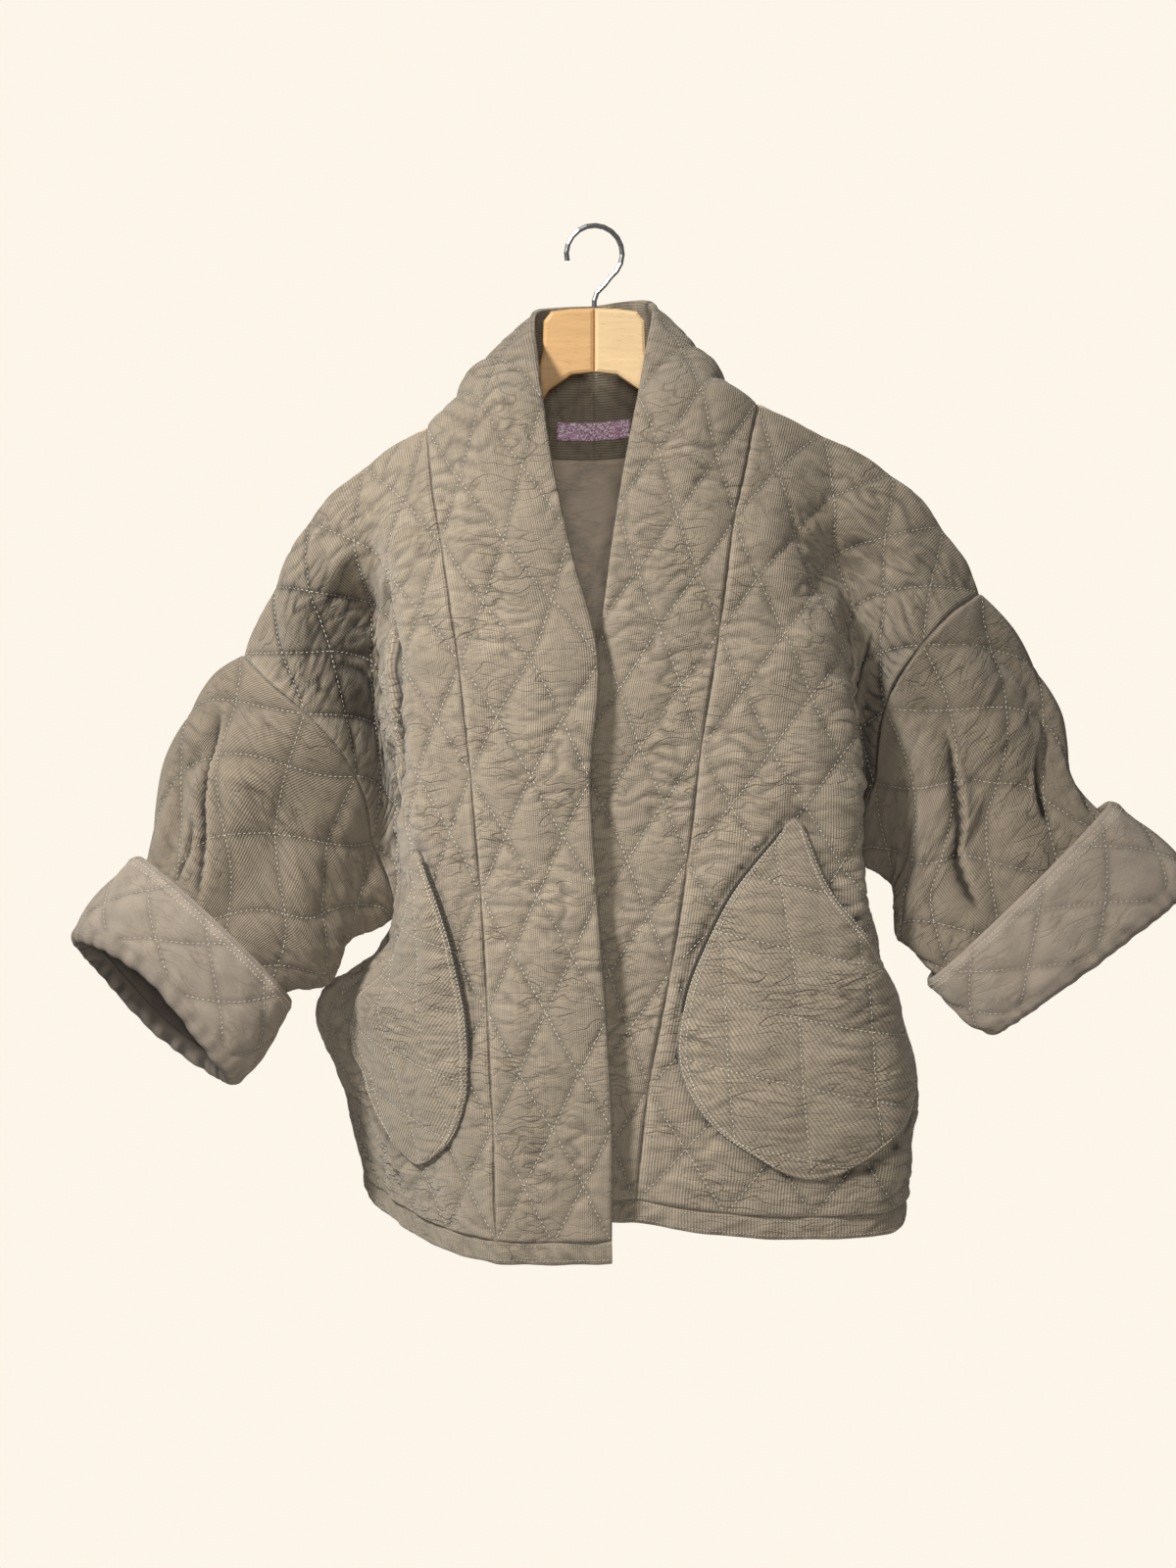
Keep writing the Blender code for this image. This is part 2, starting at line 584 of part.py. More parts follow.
def wall(name, grid, normals, finish, around=False, steps=(2, 2), outer=None, inner=INSIDE,
         first_row=0, first_column=0, seamed=True):
    """A padded wall: a quilted outer grid, a plain inner grid, and the rim between.

    One cell of the inner grid takes steps of the outer grid's cells, down and across.
    """
    rows, columns = grid.shape[:2]
    if outer is None:
        outer = STITCHED + PUFF * quilting(rows, columns, first_row, first_column, around)
    build = bmesh.new()
    out = grid + normals * outer[:, :, None]
    inside = grid - normals * inner
    if seamed:
        straighten_rims(inside, around)
    out_points = [[build.verts.new(p * MM) for p in row] for row in out]
    quilt_faces(build, out_points, rows, columns, around, first_row, first_column)
    down, across = steps
    kept_rows = list(range(0, rows, down))
    kept_columns = list(range(0, columns, across))
    in_points = {(r, c): build.verts.new(inside[r, c] * MM) for r in kept_rows for c in kept_columns}
    for r, s in zip(kept_rows, kept_rows[1:]):
        after = kept_columns[1:] + ([kept_columns[0]] if around else [])
        for c, d in zip(kept_columns, after):
            build.faces.new((in_points[r, c], in_points[s, c], in_points[s, d]))
            build.faces.new((in_points[r, c], in_points[s, d], in_points[r, d]))
    edges = []
    last_row, last_column = rows - 1, columns - 1
    for row in (0, last_row):
        edges.append(([(row, c) for c in range(columns)] + ([(row, 0)] if around else []), across))
    if not around:
        for column in (0, last_column):
            edges.append(([(r, column) for r in range(rows)], down))
    for line, step in edges:
        for start in range(0, len(line) - 1, step):
            stretch = line[start : start + step + 1]
            first, last = in_points[stretch[0]], in_points[stretch[-1]]
            middle = len(stretch) // 2
            tops = [out_points[r][c] for r, c in stretch]
            for k, (p, q) in enumerate(zip(tops, tops[1:])):
                build.faces.new((p, q, first if k < middle else last))
            build.faces.new((first, last, tops[middle]))
    return solid_from(name, build, finish)


# Things that lie on a panel

def on_grid(grid, column, row):
    """A point of a grid between its own points."""
    c = min(int(column), grid.shape[1] - 2)
    r = min(int(row), grid.shape[0] - 2)
    s, t = column - c, row - r
    return (grid[r, c] * (1 - s) * (1 - t) + grid[r, c + 1] * s * (1 - t)
            + grid[r + 1, c] * (1 - s) * t + grid[r + 1, c + 1] * s * t)


def pocket_grids(front, normals, table, columns=14, rows=12):
    """A drop-shaped pocket, from the front's own points, and the normals there."""
    places = np.array(table, float)
    keys = np.arange(len(places))
    at = smooth_between(keys, places, np.linspace(0, len(places) - 1, rows + 1))
    spots = []
    for k, (inner_edge, outer_edge) in enumerate(at):
        share = np.linspace(0, 1, columns + 1)[:, None]
        line = inner_edge * (1 - share) + outer_edge * share
        sag = 0.55 * (k / rows) ** 3 - 0.25 * (1 - k / rows) ** 3
        line[:, 1] += sag * np.sin(math.pi * share[:, 0])
        spots.append(line)
    surface = np.array([[on_grid(front, c, r) for c, r in line] for line in spots])
    facing = np.array([[on_grid(normals, c, r) for c, r in line] for line in spots])
    return surface, facing / np.linalg.norm(facing, axis=2, keepdims=True)


def pocket(name, front, normals, table, lift):
    """The pocket stands off the front by the padding, and is quilted on the bias."""
    surface, facing = pocket_grids(front, normals, table)
    rows, columns = surface.shape[:2]
    puffs = quilting(rows, columns, 1, 1)
    middle = surface + facing * (lift + POCKET_THICKNESS / 2)
    outer = POCKET_THICKNESS / 2 + 1.0 + 2.2 * puffs
    return wall(name, middle, facing, "needlecord", steps=(1, 1), outer=outer,
                inner=POCKET_THICKNESS / 2, first_row=1, first_column=1, seamed=False)


def label(right_band, left_band, normals):
    """A bare strip inside the collar, sewn across the centre back."""
    coarse = {
        "right": (right_band[::2, ::2], normals["right_band"][::2, ::2]),
        "left": (left_band[::2, ::2], normals["left_band"][::2, ::2]),
    }
    places = (("right", LABEL_REACH), ("right", LABEL_REACH / 2), ("right", 0),
              ("left", LABEL_REACH / 2), ("left", LABEL_REACH))
    surface = np.array([[on_grid(coarse[side][0], column, row) for side, row in places]
                        for column in LABEL_COLUMNS])
    facing = np.array([[on_grid(coarse[side][1], column, row) for side, row in places]
                       for column in LABEL_COLUMNS])
    facing /= np.linalg.norm(facing, axis=2, keepdims=True)
    middle = surface - facing * (INSIDE + 0.7 + LABEL_THICKNESS / 2)
    outer = np.full(surface.shape[:2], LABEL_THICKNESS / 2)
    return wall("label", middle, facing, "label", steps=(1, 1), outer=outer, inner=LABEL_THICKNESS / 2,
                seamed=False)


# The hanger

def arm_line(front, count=9):
    """The line under the shoulder seam that the hanger's arm follows."""
    shares = np.linspace(1.5, FRONT_COLUMNS * 0.62, count)
    return np.array([on_grid(front, c, 0) for c in shares])


def mesh_of_curve(thing):
    """The closed mesh of a curve object, which is then taken away."""
    bpy.context.view_layer.update()
    mesh = bpy.data.meshes.new_from_object(thing.evaluated_get(bpy.context.evaluated_depsgraph_get()))
    bpy.data.objects.remove(thing)
    build = bmesh.new()
    build.from_mesh(mesh)
    bpy.data.meshes.remove(mesh)
    bmesh.ops.remove_doubles(build, verts=build.verts, dist=0.00002)
    return build


def hanger_half(name, side, front):
    """Half the hanger: a head, an arched underside and an arm to its tip, with eased edges."""
    upper = [(p[0], p[2] - ARM_CLEARANCE) for p in arm_line(front)]
    tip_x, tip_z = upper[-1]
    outline = [(side * HALVES_GAP / 2, -62.0), (side * 18.0, -62.5), (side * 34.0, -64.5),
               (side * 40.0, -72.0), (side * 41.0, -96.0), (side * 47.0, -118.0), (side * 62.0, -142.0),
               (side * 84.0, -162.0), (side * 106.0, -171.0)]
    outline += upper
    outline += [(tip_x + side * 4.0, tip_z - 7.0), (tip_x - side * 2.0, tip_z - ARM_HEIGHT + 3.0)]
    outline += [(x - side * 8.0, z - ARM_HEIGHT) for x, z in upper[-2:0:-1]]
    outline += [(side * 106.0, -189.0), (side * 80.0, -180.0), (side * 56.0, -160.0),
                (side * 36.0, -126.0), (side * 18.0, -114.0), (side * HALVES_GAP / 2, -112.0)]
    curve = bpy.data.curves.new(name, "CURVE")
    curve.dimensions = "2D"
    curve.fill_mode = "BOTH"
    curve.extrude = BOARD_HALF * MM
    spline = curve.splines.new("POLY")
    spline.points.add(len(outline) - 1)
    spline.use_cyclic_u = True
    for point, (x, z) in zip(spline.points, outline):
        point.co = (x * MM, z * MM, 0, 1)
    flat = bpy.data.objects.new(name + "_outline", curve)
    bpy.context.scene.collection.objects.link(flat)
    build = mesh_of_curve(flat)
    rims = [e for e in build.edges if abs(e.verts[0].co.z - e.verts[1].co.z) < 1e-6
            and len(e.link_faces) == 2 and e.calc_face_angle() > 1.0]
    bmesh.ops.bevel(build, geom=rims, offset=EASED_EDGE * MM, segments=2, profile=0.5,
                    affect="EDGES", clamp_overlap=True)
    bmesh.ops.triangulate(build, faces=build.faces)
    for vert in build.verts:
        x, z, y = vert.co
        place = abs(x) / MM
        taper = np.interp(place, ARM_PLACES, ARM_TAPER)
        vert.co = (x, y * taper + np.interp(place, ARM_PLACES, ARM_DEPTHS) * MM, z)
    return solid_from(name, build, "beech")


def hook():
    """A steel hook whose inside top is at the origin, with its shank in the hanger's head."""
    radius = HOOK_RADIUS
    top = HOOK_WIRE / 2
    points = [(0, -61.5), (0, -56), (2, -50), (8, -44)]
    for step in range(15):
        turn = math.radians(-55 + step * 250 / 14)
        points.append((radius * math.cos(turn), top - radius + radius * math.sin(turn)))
    curve = bpy.data.curves.new("hook", "CURVE")
    curve.dimensions = "3D"
    curve.bevel_depth = HOOK_WIRE / 2 * MM
    curve.bevel_resolution = 2
    curve.use_fill_caps = True
    spline = curve.splines.new("POLY")
    spline.points.add(len(points) - 1)
    for point, (x, z) in zip(spline.points, points):
        point.co = (x * MM, 0, z * MM, 1)
    wire = bpy.data.objects.new("hook_line", curve)
    bpy.context.scene.collection.objects.link(wire)
    return solid_from("hook", mesh_of_curve(wire), "steel")


# Putting it together

def panel_grids():
    """Every panel of the coat but the cuffs: its grid, its outward sign, and if it is a tube."""
    right_front = fold(panel(RIGHT_FRONT, FRONT_COLUMNS), RIGHT_FRONT_FOLDS, OUTWARD)
    left_front = fold(panel(LEFT_FRONT, FRONT_COLUMNS), LEFT_FRONT_FOLDS, INWARD)
    back = back_grid(right_front, left_front)
    first, middle, last = FRONT_COLUMNS, FRONT_COLUMNS + NECK_ROWS, FRONT_COLUMNS + NECK_COLUMNS
    right_band = band_grid(right_front, back[0, first : middle + 1][::-1], RIGHT_BAND_EDGE)
    left_band = band_grid(left_front, back[0, middle : last + 1], LEFT_BAND_EDGE)
    right_sleeve = sleeve_grid(RIGHT_SLEEVE, right_front, back[:, 0], RIGHT_SLEEVE_FOLDS, INWARD)
    left_sleeve = sleeve_grid(LEFT_SLEEVE, left_front, back[:, -1], LEFT_SLEEVE_FOLDS, OUTWARD)
    right_hem_edge = np.concatenate([right_band[-1, ::-1], right_front[-1, 1:]])
    left_hem_edge = np.concatenate([left_band[-1, ::-1], left_front[-1, 1:]])
    forward = np.array([0, -1.0, 0])
    return {
        "right_front": (right_front, OUTWARD, False),
        "left_front": (left_front, INWARD, False),
        "back": (back, OUTWARD, False),
        "right_band": (right_band, INWARD, False),
        "left_band": (left_band, OUTWARD, False),
        "right_sleeve": (right_sleeve, INWARD, True),
        "left_sleeve": (left_sleeve, OUTWARD, True),
        "right_hem": (hem_grid(right_hem_edge, forward), OUTWARD, False),
        "left_hem": (hem_grid(left_hem_edge, forward), INWARD, False),
        "back_hem": (hem_grid(back[-1], -forward), OUTWARD, False),
    }


# The sides of each panel that are sewn to a neighbour.
SEAMS = {
    "right_front": ("top", "bottom", "left", "right"),
    "left_front": ("top", "bottom", "left", "right"),
    "back": ("top", "bottom", "left", "right"),
    "right_band": ("top", "bottom", "left"),
    "left_band": ("top", "bottom", "left"),
    "right_sleeve": ("top",),
    "left_sleeve": ("top",),
    "right_hem": ("top", "right"),
    "left_hem": ("top", "right"),
    "back_hem": ("top", "left", "right"),
}

# How many cells of the outer grid one cell of the plain inside takes: down, across.
INSIDE_STEPS = {
    "right_front": (2, 1), "left_front": (2, 1), "right_sleeve": (1, 1), "left_sleeve": (1, 1),
}


def coat():
    """Builds every solid of the coat and of its hanger."""
    grids = panel_grids()
    normals = shared_normals(grids)
    for name, (grid, _, around) in grids.items():
        if name.endswith("hem"):
            plump = np.full(grid.shape[:2], STITCHED + 0.8)
            plump[[0, -1]] = STITCHED - 0.4
            wall(name, inset(grid, SEAMS[name]), normals[name], "needlecord", outer=plump)
        else:
            steps = INSIDE_STEPS.get(name, (2, 2))
            wall(name, inset(grid, SEAMS[name], around), normals[name], "needlecord", around, steps)
    for name, table, outward in (
        ("right_cuff", RIGHT_SLEEVE, OUTWARD), ("left_cuff", LEFT_SLEEVE, INWARD),
    ):
        grid = cuff_grid(table)
        facing = shared_normals({name: (grid, outward, True)})[name]
        puffs = quilting(*grid.shape[:2], around=True)
        puffs[:4] = 0
        padding = STITCHED + 0.2 + PUFF * puffs
        wall(name, grid, facing, "lining", True, steps=(1, 1), outer=padding, inner=2.2, seamed=False)
    pocket("right_pocket", grids["right_front"][0], normals["right_front"], RIGHT_POCKET, RIGHT_POCKET_LIFT)
    pocket("left_pocket", grids["left_front"][0], normals["left_front"], LEFT_POCKET, LEFT_POCKET_LIFT)
    label(grids["right_band"][0], grids["left_band"][0], normals)
    hanger_half("hanger_right_half", -1, grids["right_front"][0])
    hanger_half("hanger_left_half", 1, grids["left_front"][0])
    hook()


clear_scene()
coat()
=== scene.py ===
# %% [markdown]
# A quilted kimono coat of washed needlecord, hanging open on a beech hanger.
#
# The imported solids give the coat's size and folds. This lesson puts cloth on them: each
# panel is cut again from the same pattern tables on a finer grid, padded, puckered by its
# quilting, sewn with thread and shaded. Tables hold millimetres; the scene is in metres.

# %% The frame
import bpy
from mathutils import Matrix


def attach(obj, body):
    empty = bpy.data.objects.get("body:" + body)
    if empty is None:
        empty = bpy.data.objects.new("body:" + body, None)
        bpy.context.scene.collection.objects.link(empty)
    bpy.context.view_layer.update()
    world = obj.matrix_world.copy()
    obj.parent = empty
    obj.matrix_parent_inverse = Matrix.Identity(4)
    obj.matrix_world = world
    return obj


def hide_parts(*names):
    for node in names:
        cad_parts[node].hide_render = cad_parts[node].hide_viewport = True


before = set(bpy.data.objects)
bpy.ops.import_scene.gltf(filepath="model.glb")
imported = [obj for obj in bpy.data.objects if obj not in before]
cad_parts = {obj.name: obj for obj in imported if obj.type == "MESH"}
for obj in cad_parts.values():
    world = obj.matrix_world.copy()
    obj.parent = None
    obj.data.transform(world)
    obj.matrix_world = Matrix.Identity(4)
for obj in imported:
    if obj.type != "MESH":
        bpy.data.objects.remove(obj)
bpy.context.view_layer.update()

import math

import bmesh
import bpy
import numpy as np
from mathutils import Vector

print("nodes in the frame:", len(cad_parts))

# %% [markdown]
# The camera comes first. It looks a little down on the coat from two metres in front, as
# the photograph does, with a long lens so that the sleeves aren't stretched at the edges.
# The lens follows from the size of the coat in the picture.

# %% The camera
CAMERA_PLACE = (-0.005, -2.0, -0.150)
CAMERA_PITCH = math.radians(90 - 8.3)
LENS = 57.15

camera = bpy.data.objects.new("camera", bpy.data.cameras.new("camera"))
bpy.context.scene.collection.objects.link(camera)
camera.location = CAMERA_PLACE
camera.rotation_euler = (CAMERA_PITCH, 0, 0)
camera.data.sensor_fit = "VERTICAL"
camera.data.sensor_height = 36.0
camera.data.sensor_width = 36.0
camera.data.lens = LENS
bpy.context.scene.camera = camera
print("camera at", CAMERA_PLACE)

# %% [markdown]
# The light is that of a product studio: a small soft key light high at the left, a weaker
# one straight in front and a large one behind. A cream surround shows behind the coat, but
# lights it only weakly, so that the gaps stay dark.

# %% Light and surround
SURROUND = (0.978, 0.914, 0.815, 1)
FLOOR = (0.84, 0.79, 0.71, 1)
# Columns: name, place, size, power, spread in degrees, colour.
LIGHTS = (
    ("key", (-1.00, -1.10, 0.85), 0.30, 5.3, 56, (1.0, 0.985, 0.955)),
    ("front", (0.0, -2.3, 0.0), 0.40, 1.75, 50, (1.0, 0.985, 0.96)),
    ("rear", (0.5, 2.4, -0.4), 1.2, 38.0, 180, (1.0, 0.99, 0.97)),
)
AMBIENT = 0.13


def add_lights(aim=Vector((0, -0.09, -0.58))):
    """Area lights that look at the middle of the coat."""
    for name, place, size, power, spread, colour in LIGHTS:
        lamp = bpy.data.objects.new(name, bpy.data.lights.new(name, "AREA"))
        lamp.data.shape = "DISK"
        lamp.data.size = size
        lamp.data.energy = power
        lamp.data.spread = math.radians(spread)
        lamp.data.color = colour
        lamp.location = place
        lamp.rotation_euler = (aim - Vector(place)).to_track_quat("-Z", "Y").to_euler()
        bpy.context.scene.collection.objects.link(lamp)


def add_surround():
    """A cream world that the camera sees at full strength and the coat sees dimmed."""
    world = bpy.data.worlds.new("surround")
    world.use_nodes = True
    tree = world.node_tree
    seen = tree.nodes["Background"]
    seen.inputs["Color"].default_value = SURROUND
    seen.inputs["Strength"].default_value = 1.0
    dim = tree.nodes.new("ShaderNodeBackground")
    dim.inputs["Color"].default_value = (1.0, 0.97, 0.93, 1)
    dim.inputs["Strength"].default_value = AMBIENT
    path = tree.nodes.new("ShaderNodeLightPath")
    mix = tree.nodes.new("ShaderNodeMixShader")
    tree.links.new(path.outputs["Is Camera Ray"], mix.inputs[0])
    tree.links.new(dim.outputs[0], mix.inputs[1])
    tree.links.new(seen.outputs[0], mix.inputs[2])
    tree.links.new(mix.outputs[0], tree.nodes["World Output"].inputs["Surface"])
    bpy.context.scene.world = world


def add_floor(below=1.55, radius=0.85):
    """A plain pale floor beneath the coat."""
    mesh = bpy.data.meshes.new("floor")
    turn = np.arange(64) * 2 * math.pi / 64
    rim = [(radius * math.cos(a), radius * math.sin(a), -below) for a in turn]
    mesh.from_pydata(rim, [], [list(range(64))])
    finish = bpy.data.materials.new("floor")
    finish.use_nodes = True
    shader = finish.node_tree.nodes["Principled BSDF"]
    shader.inputs["Base Color"].default_value = FLOOR
    shader.inputs["Roughness"].default_value = 0.9
    shader.inputs["Emission Color"].default_value = FLOOR
    shader.inputs["Emission Strength"].default_value = 0.3
    mesh.materials.append(finish)
    floor = bpy.data.objects.new("floor", mesh)
    bpy.context.scene.collection.objects.link(floor)


add_lights()
add_surround()
add_floor()
bpy.context.scene.view_settings.view_transform = "Standard"
print("lights:", ", ".join(row[0] for row in LIGHTS))

# %% [markdown]
# The pattern. A garment could be modelled by pulling one closed body about, but its seams
# would then be only drawn on. Here each panel is lofted through a few sections, as it was
# for the solids, and neighbours share the points of their seam.

# %% Pattern tables
MM = 0.001
FRONT_COLUMNS = 16
NECK_COLUMNS = 16
BACK_COLUMNS = FRONT_COLUMNS * 2 + NECK_COLUMNS
BODY_ROWS = 28
ARMHOLE_ROWS = 16
BAND_COLUMNS = 8
NECK_ROWS = NECK_COLUMNS // 2
SLEEVE_RING = ARMHOLE_ROWS * 2
SLEEVE_ROWS = 12
OUTWARD = 1
INWARD = -1
HEM_HEIGHT = 19.0
CUFF_ROLL = 6.0

# Right front, at the wearer's right. One section a row, from the band's seam over the
# crest, down into the fold beside the sleeve, and out to the armhole or the side seam.
RIGHT_FRONT = {
    0: ((-129, -40, -156), (-169, -34, -180), (-222, -28, -228), (-262, -26, -305), (-278, -25, -336)),
    2: ((-124, -66, -201), (-146, -62, -212), (-172, -48, -232), (-212, -48, -268), (-254, -46, -356)),
    4: ((-117, -81, -243), (-150, -68, -256), (-163, -34, -275), (-178, -18, -292), (-206, -42, -325),
        (-228, -50, -378)),
    8: ((-104, -93, -333), (-147, -77, -338), (-160, -48, -350), (-169, -22, -372), (-180, -14, -402),
        (-192, -28, -431)),
    12: ((-95, -95, -421), (-141, -77, -426), (-153, -46, -438), (-158, -10, -456), (-168, 4, -474),
         (-182, 6, -490)),
    16: ((-88, -95, -513), (-130, -84, -518), (-147, -50, -528), (-152, -12, -541), (-164, 26, -556)),
    18: ((-85, -95, -560), (-126, -82, -563), (-152, -48, -569), (-165, -4, -578), (-176, 34, -592),
         (-182, 50, -598)),
    20: ((-83, -95, -607), (-122, -80, -608), (-160, -44, -612), (-192, 4, -618), (-220, 48, -625),
         (-228, 78, -632)),
    24: ((-79, -95, -701), (-116, -72, -703), (-150, -34, -706), (-180, 12, -708), (-205, 54, -712),
         (-212, 80, -715)),
    28: ((-77, -95, -795), (-110, -66, -797), (-143, -24, -797), (-170, 20, -794), (-190, 55, -790),
         (-196, 76, -786)),
}

# Left front, in the same order. It lies nearly flat to the viewer.
LEFT_FRONT = {
    0: ((125, -40, -138), (150, -34, -150), (200, -30, -174), (245, -27, -203), (285, -23, -252),
        (305, -20, -287)),
    2: ((116, -64, -182), (142, -62, -189), (172, -50, -202), (215, -46, -230), (250, -46, -264),
        (279, -45, -299)),
    4: ((107, -78, -224), (135, -75, -228), (158, -62, -236), (181, -38, -250), (208, -30, -266),
        (236, -44, -292), (257, -54, -323)),
    8: ((96, -85, -311), (140, -84, -313), (178, -76, -320), (194, -62, -327), (202, -28, -345),
        (213, -14, -360), (224, -16, -370), (233, -28, -376)),
    12: ((83, -85, -399), (130, -88, -400), (175, -86, -404), (202, -74, -410), (205, -38, -420),
         (212, -8, -428), (220, 0, -434), (228, -2, -440)),
    16: ((73, -85, -489), (125, -90, -490), (175, -88, -492), (206, -76, -494), (199, -36, -497),
         (212, 25, -500)),
    20: ((60, -85, -577), (115, -92, -579), (170, -90, -581), (214, -82, -583), (229, -62, -585),
         (231, -20, -587), (228, 25, -588)),
    24: ((43, -85, -671), (100, -92, -673), (155, -90, -675), (205, -84, -676), (240, -70, -678),
         (256, -38, -680), (257, 6, -680)),
    28: ((33, -85, -764), (90, -90, -772), (145, -88, -777), (200, -80, -779), (238, -66, -780),
         (252, -34, -780), (253, 6, -778)),
}

# Back, from the wearer's right side to the left. Its edges are drawn onto the fronts.
BACK = {
    0: ((-278, -25, -336), (-222, -20, -228), (-129, -40, -156), (-98, 20, -172), (-52, 60, -180),
        (0, 71, -182), (52, 58, -176), (96, 18, -160), (125, -40, -138), (200, -22, -174),
        (305, -20, -287)),
    4: ((-245, 24, -373), (-190, 44, -310), (-130, 52, -274), (-60, 64, -266), (0, 68, -268),
        (60, 62, -262), (130, 50, -255), (200, 40, -272), (274, 22, -319)),
    8: ((-208, 46, -428), (-168, 57, -385), (-110, 62, -360), (-50, 71, -353), (0, 75, -354),
        (60, 68, -350), (120, 61, -348), (190, 52, -355), (246, 42, -376)),
    12: ((-180, 46, -491), (-140, 64, -465), (-90, 76, -448), (-40, 73, -440), (10, 85, -440),
         (70, 74, -438), (130, 70, -436), (188, 60, -436), (226, 44, -440)),
    16: ((-164, 26, -556), (-150, 58, -550), (-100, 83, -533), (-40, 77, -526), (20, 93, -524),
         (85, 79, -520), (145, 78, -514), (190, 62, -507), (212, 25, -500)),
    20: ((-228, 78, -632), (-188, 98, -625), (-120, 88, -616), (-60, 99, -612), (10, 86, -610),
         (80, 99, -606), (150, 84, -600), (208, 62, -594), (228, 25, -588)),
    24: ((-212, 80, -715), (-180, 104, -710), (-115, 90, -702), (-55, 105, -698), (15, 88, -696),
         (85, 103, -692), (155, 86, -688), (224, 58, -684), (257, 6, -680)),
    28: ((-196, 76, -786), (-168, 107, -788), (-110, 92, -786), (-50, 109, -785), (15, 90, -784),
         (85, 105, -782), (155, 86, -780), (220, 56, -779), (253, 6, -778)),
}

# The armholes behind the shoulder, from the shoulder point down to the underarm.
RIGHT_ARMHOLE_BACK = ((-278, -25, -336), (-262, 8, -352), (-232, 36, -390), (-203, 48, -435),
                      (-184, 50, -480), (-173, 53, -530), (-164, 26, -556))
LEFT_ARMHOLE_BACK = ((305, -20, -287), (290, 10, -302), (264, 34, -335), (243, 46, -380),
                     (230, 52, -430), (220, 54, -476), (212, 25, -500))

# The front bands. Rows count from the centre back: eight round the neck, then the front.
# Columns: row, the free edge's x, y, z, and how far the band bows outwards.
RIGHT_BAND_EDGE = (
    (0, 0, 55, -58, 0),
    (2, -34, 45, -60, 4),
    (4, -47, 12, -68, 17),
    (6, -44, -28, -98, 24),
    (8, -39, -57, -138, 13),
    (10, -32, -76, -182, 8),
    (12, -20, -89, -238, 6),
    (16, 3, -98, -330, 5),
    (20, -3, -102, -421, 5),
    (24, 2, -103, -513, 5),
    (28, 9, -104, -608, 5),
    (32, 14, -105, -700, 4),
    (36, 14, -106, -791, 3),
)
LEFT_BAND_EDGE = (
    (0, 0, 55, -58, 0),
    (2, 34, 45, -54, 4),
    (4, 46, 12, -62, 17),
    (6, 40, -28, -94, 23),
    (8, 33, -56, -132, 12),
    (10, 25, -73, -172, 8),
    (12, 17, -79, -218, 6),
    (16, 5, -82, -306, 3),
    (20, -12, -80, -401, 2),
    (24, -22, -80, -491, 2),
    (28, -35, -80, -579, 2),
    (32, -50, -80, -671, 2),
    (36, -60, -80, -764, 2),
)

# The sleeves are flattened tubes. Columns: row, the upper fold, the lower fold, and how
# deep the tube is in front of and behind the plane through both folds.
RIGHT_SLEEVE = (
    (0, (-278, -25, -336), (-164, 26, -556), 30, 40),
    (3, (-312, -14, -368), (-202, 4, -568), 42, 40),
    (6, (-341, -16, -426), (-220, -12, -600), 46, 34),
    (8.5, (-357, -31, -504), (-254, -31, -606), 42, 36),
    (12, (-402, -56, -557), (-291, -56, -662), 36, 36),
)
LEFT_SLEEVE = (
    (0, (305, -20, -287), (212, 25, -500), 30, 40),
    (3, (342, -10, -334), (246, 4, -522), 42, 42),
    (6, (370, -14, -386), (250, -14, -560), 36, 32),
    (8.5, (384, -30, -443), (264, -30, -575), 22, 20),
    (12, (465, -39, -514), (323, -39, -628), 16, 16),
)

# The cuff's section: how far it lies from the opening, and how far outside the sleeve.
CUFF_SECTION = (
    (11, 0), (4, 0.8), (0, CUFF_ROLL), (4, 2 * CUFF_ROLL - 0.8), (14, 2 * CUFF_ROLL),
    (31, 2 * CUFF_ROLL + 1), (48, 2 * CUFF_ROLL + 1), (65, 2 * CUFF_ROLL + 0.5),
    (82, 2 * CUFF_ROLL - 0.5),
)
SLEEVE_END = 11.7

# Pockets, as places on the front panel's grid: inner edge and outer edge, (column, row).
RIGHT_POCKET = (
    ((4.3, 14.6), (5.3, 14.6)), ((2.6, 17.0), (6.8, 16.8)), ((1.3, 19.6), (8.6, 18.8)),
    ((1.1, 21.4), (10.2, 20.6)), ((1.5, 23.2), (11.0, 22.4)), ((2.7, 24.6), (10.4, 24.0)),
    ((4.4, 25.4), (8.4, 25.2)),
)
LEFT_POCKET = (
    ((5.0, 14.6), (5.9, 14.6)), ((2.5, 17.0), (7.3, 16.8)), ((1.2, 19.6), (9.4, 18.7)),
    ((0.9, 21.4), (11.6, 20.4)), ((1.3, 23.3), (13.2, 22.3)), ((3.0, 25.1), (12.8, 24.4)),
    ((6.0, 26.4), (10.2, 26.1)),
)

# The largest folds. Columns: start (column, row), end (column, row), height in mm
# (below zero is a trough), and half width in mm.
RIGHT_FRONT_FOLDS = (
    ((6.5, 5.0), (11.5, 7.5), -3, 14),
    ((5.5, 8.5), (10.5, 10.5), 4, 14),
    ((6.0, 11.0), (11.0, 12.5), -6, 12),
    ((2.5, 3.0), (9.0, 5.5), 5, 14),
    ((5.0, 19.5), (12.0, 17.5), -6, 14),
    ((8.0, 26.5), (14.0, 23.0), 5, 16),
)
LEFT_FRONT_FOLDS = (
    ((8.5, 2.5), (12.0, 4.5), -2, 16),
    ((2.5, 9.5), (8.0, 6.5), 3, 14),
    ((9.5, 13.0), (12.5, 16.0), 5, 13),
    ((9.0, 19.0), (14.0, 20.5), -5, 13),
)
BACK_FOLDS = (
    ((13.0, 6.0), (9.0, 17.0), -7, 22),
    ((35.0, 6.0), (39.0, 17.0), -7, 22),
    ((20.0, 8.0), (17.0, 26.0), 6, 24),
    ((29.0, 9.0), (32.0, 26.0), 6, 24),
)
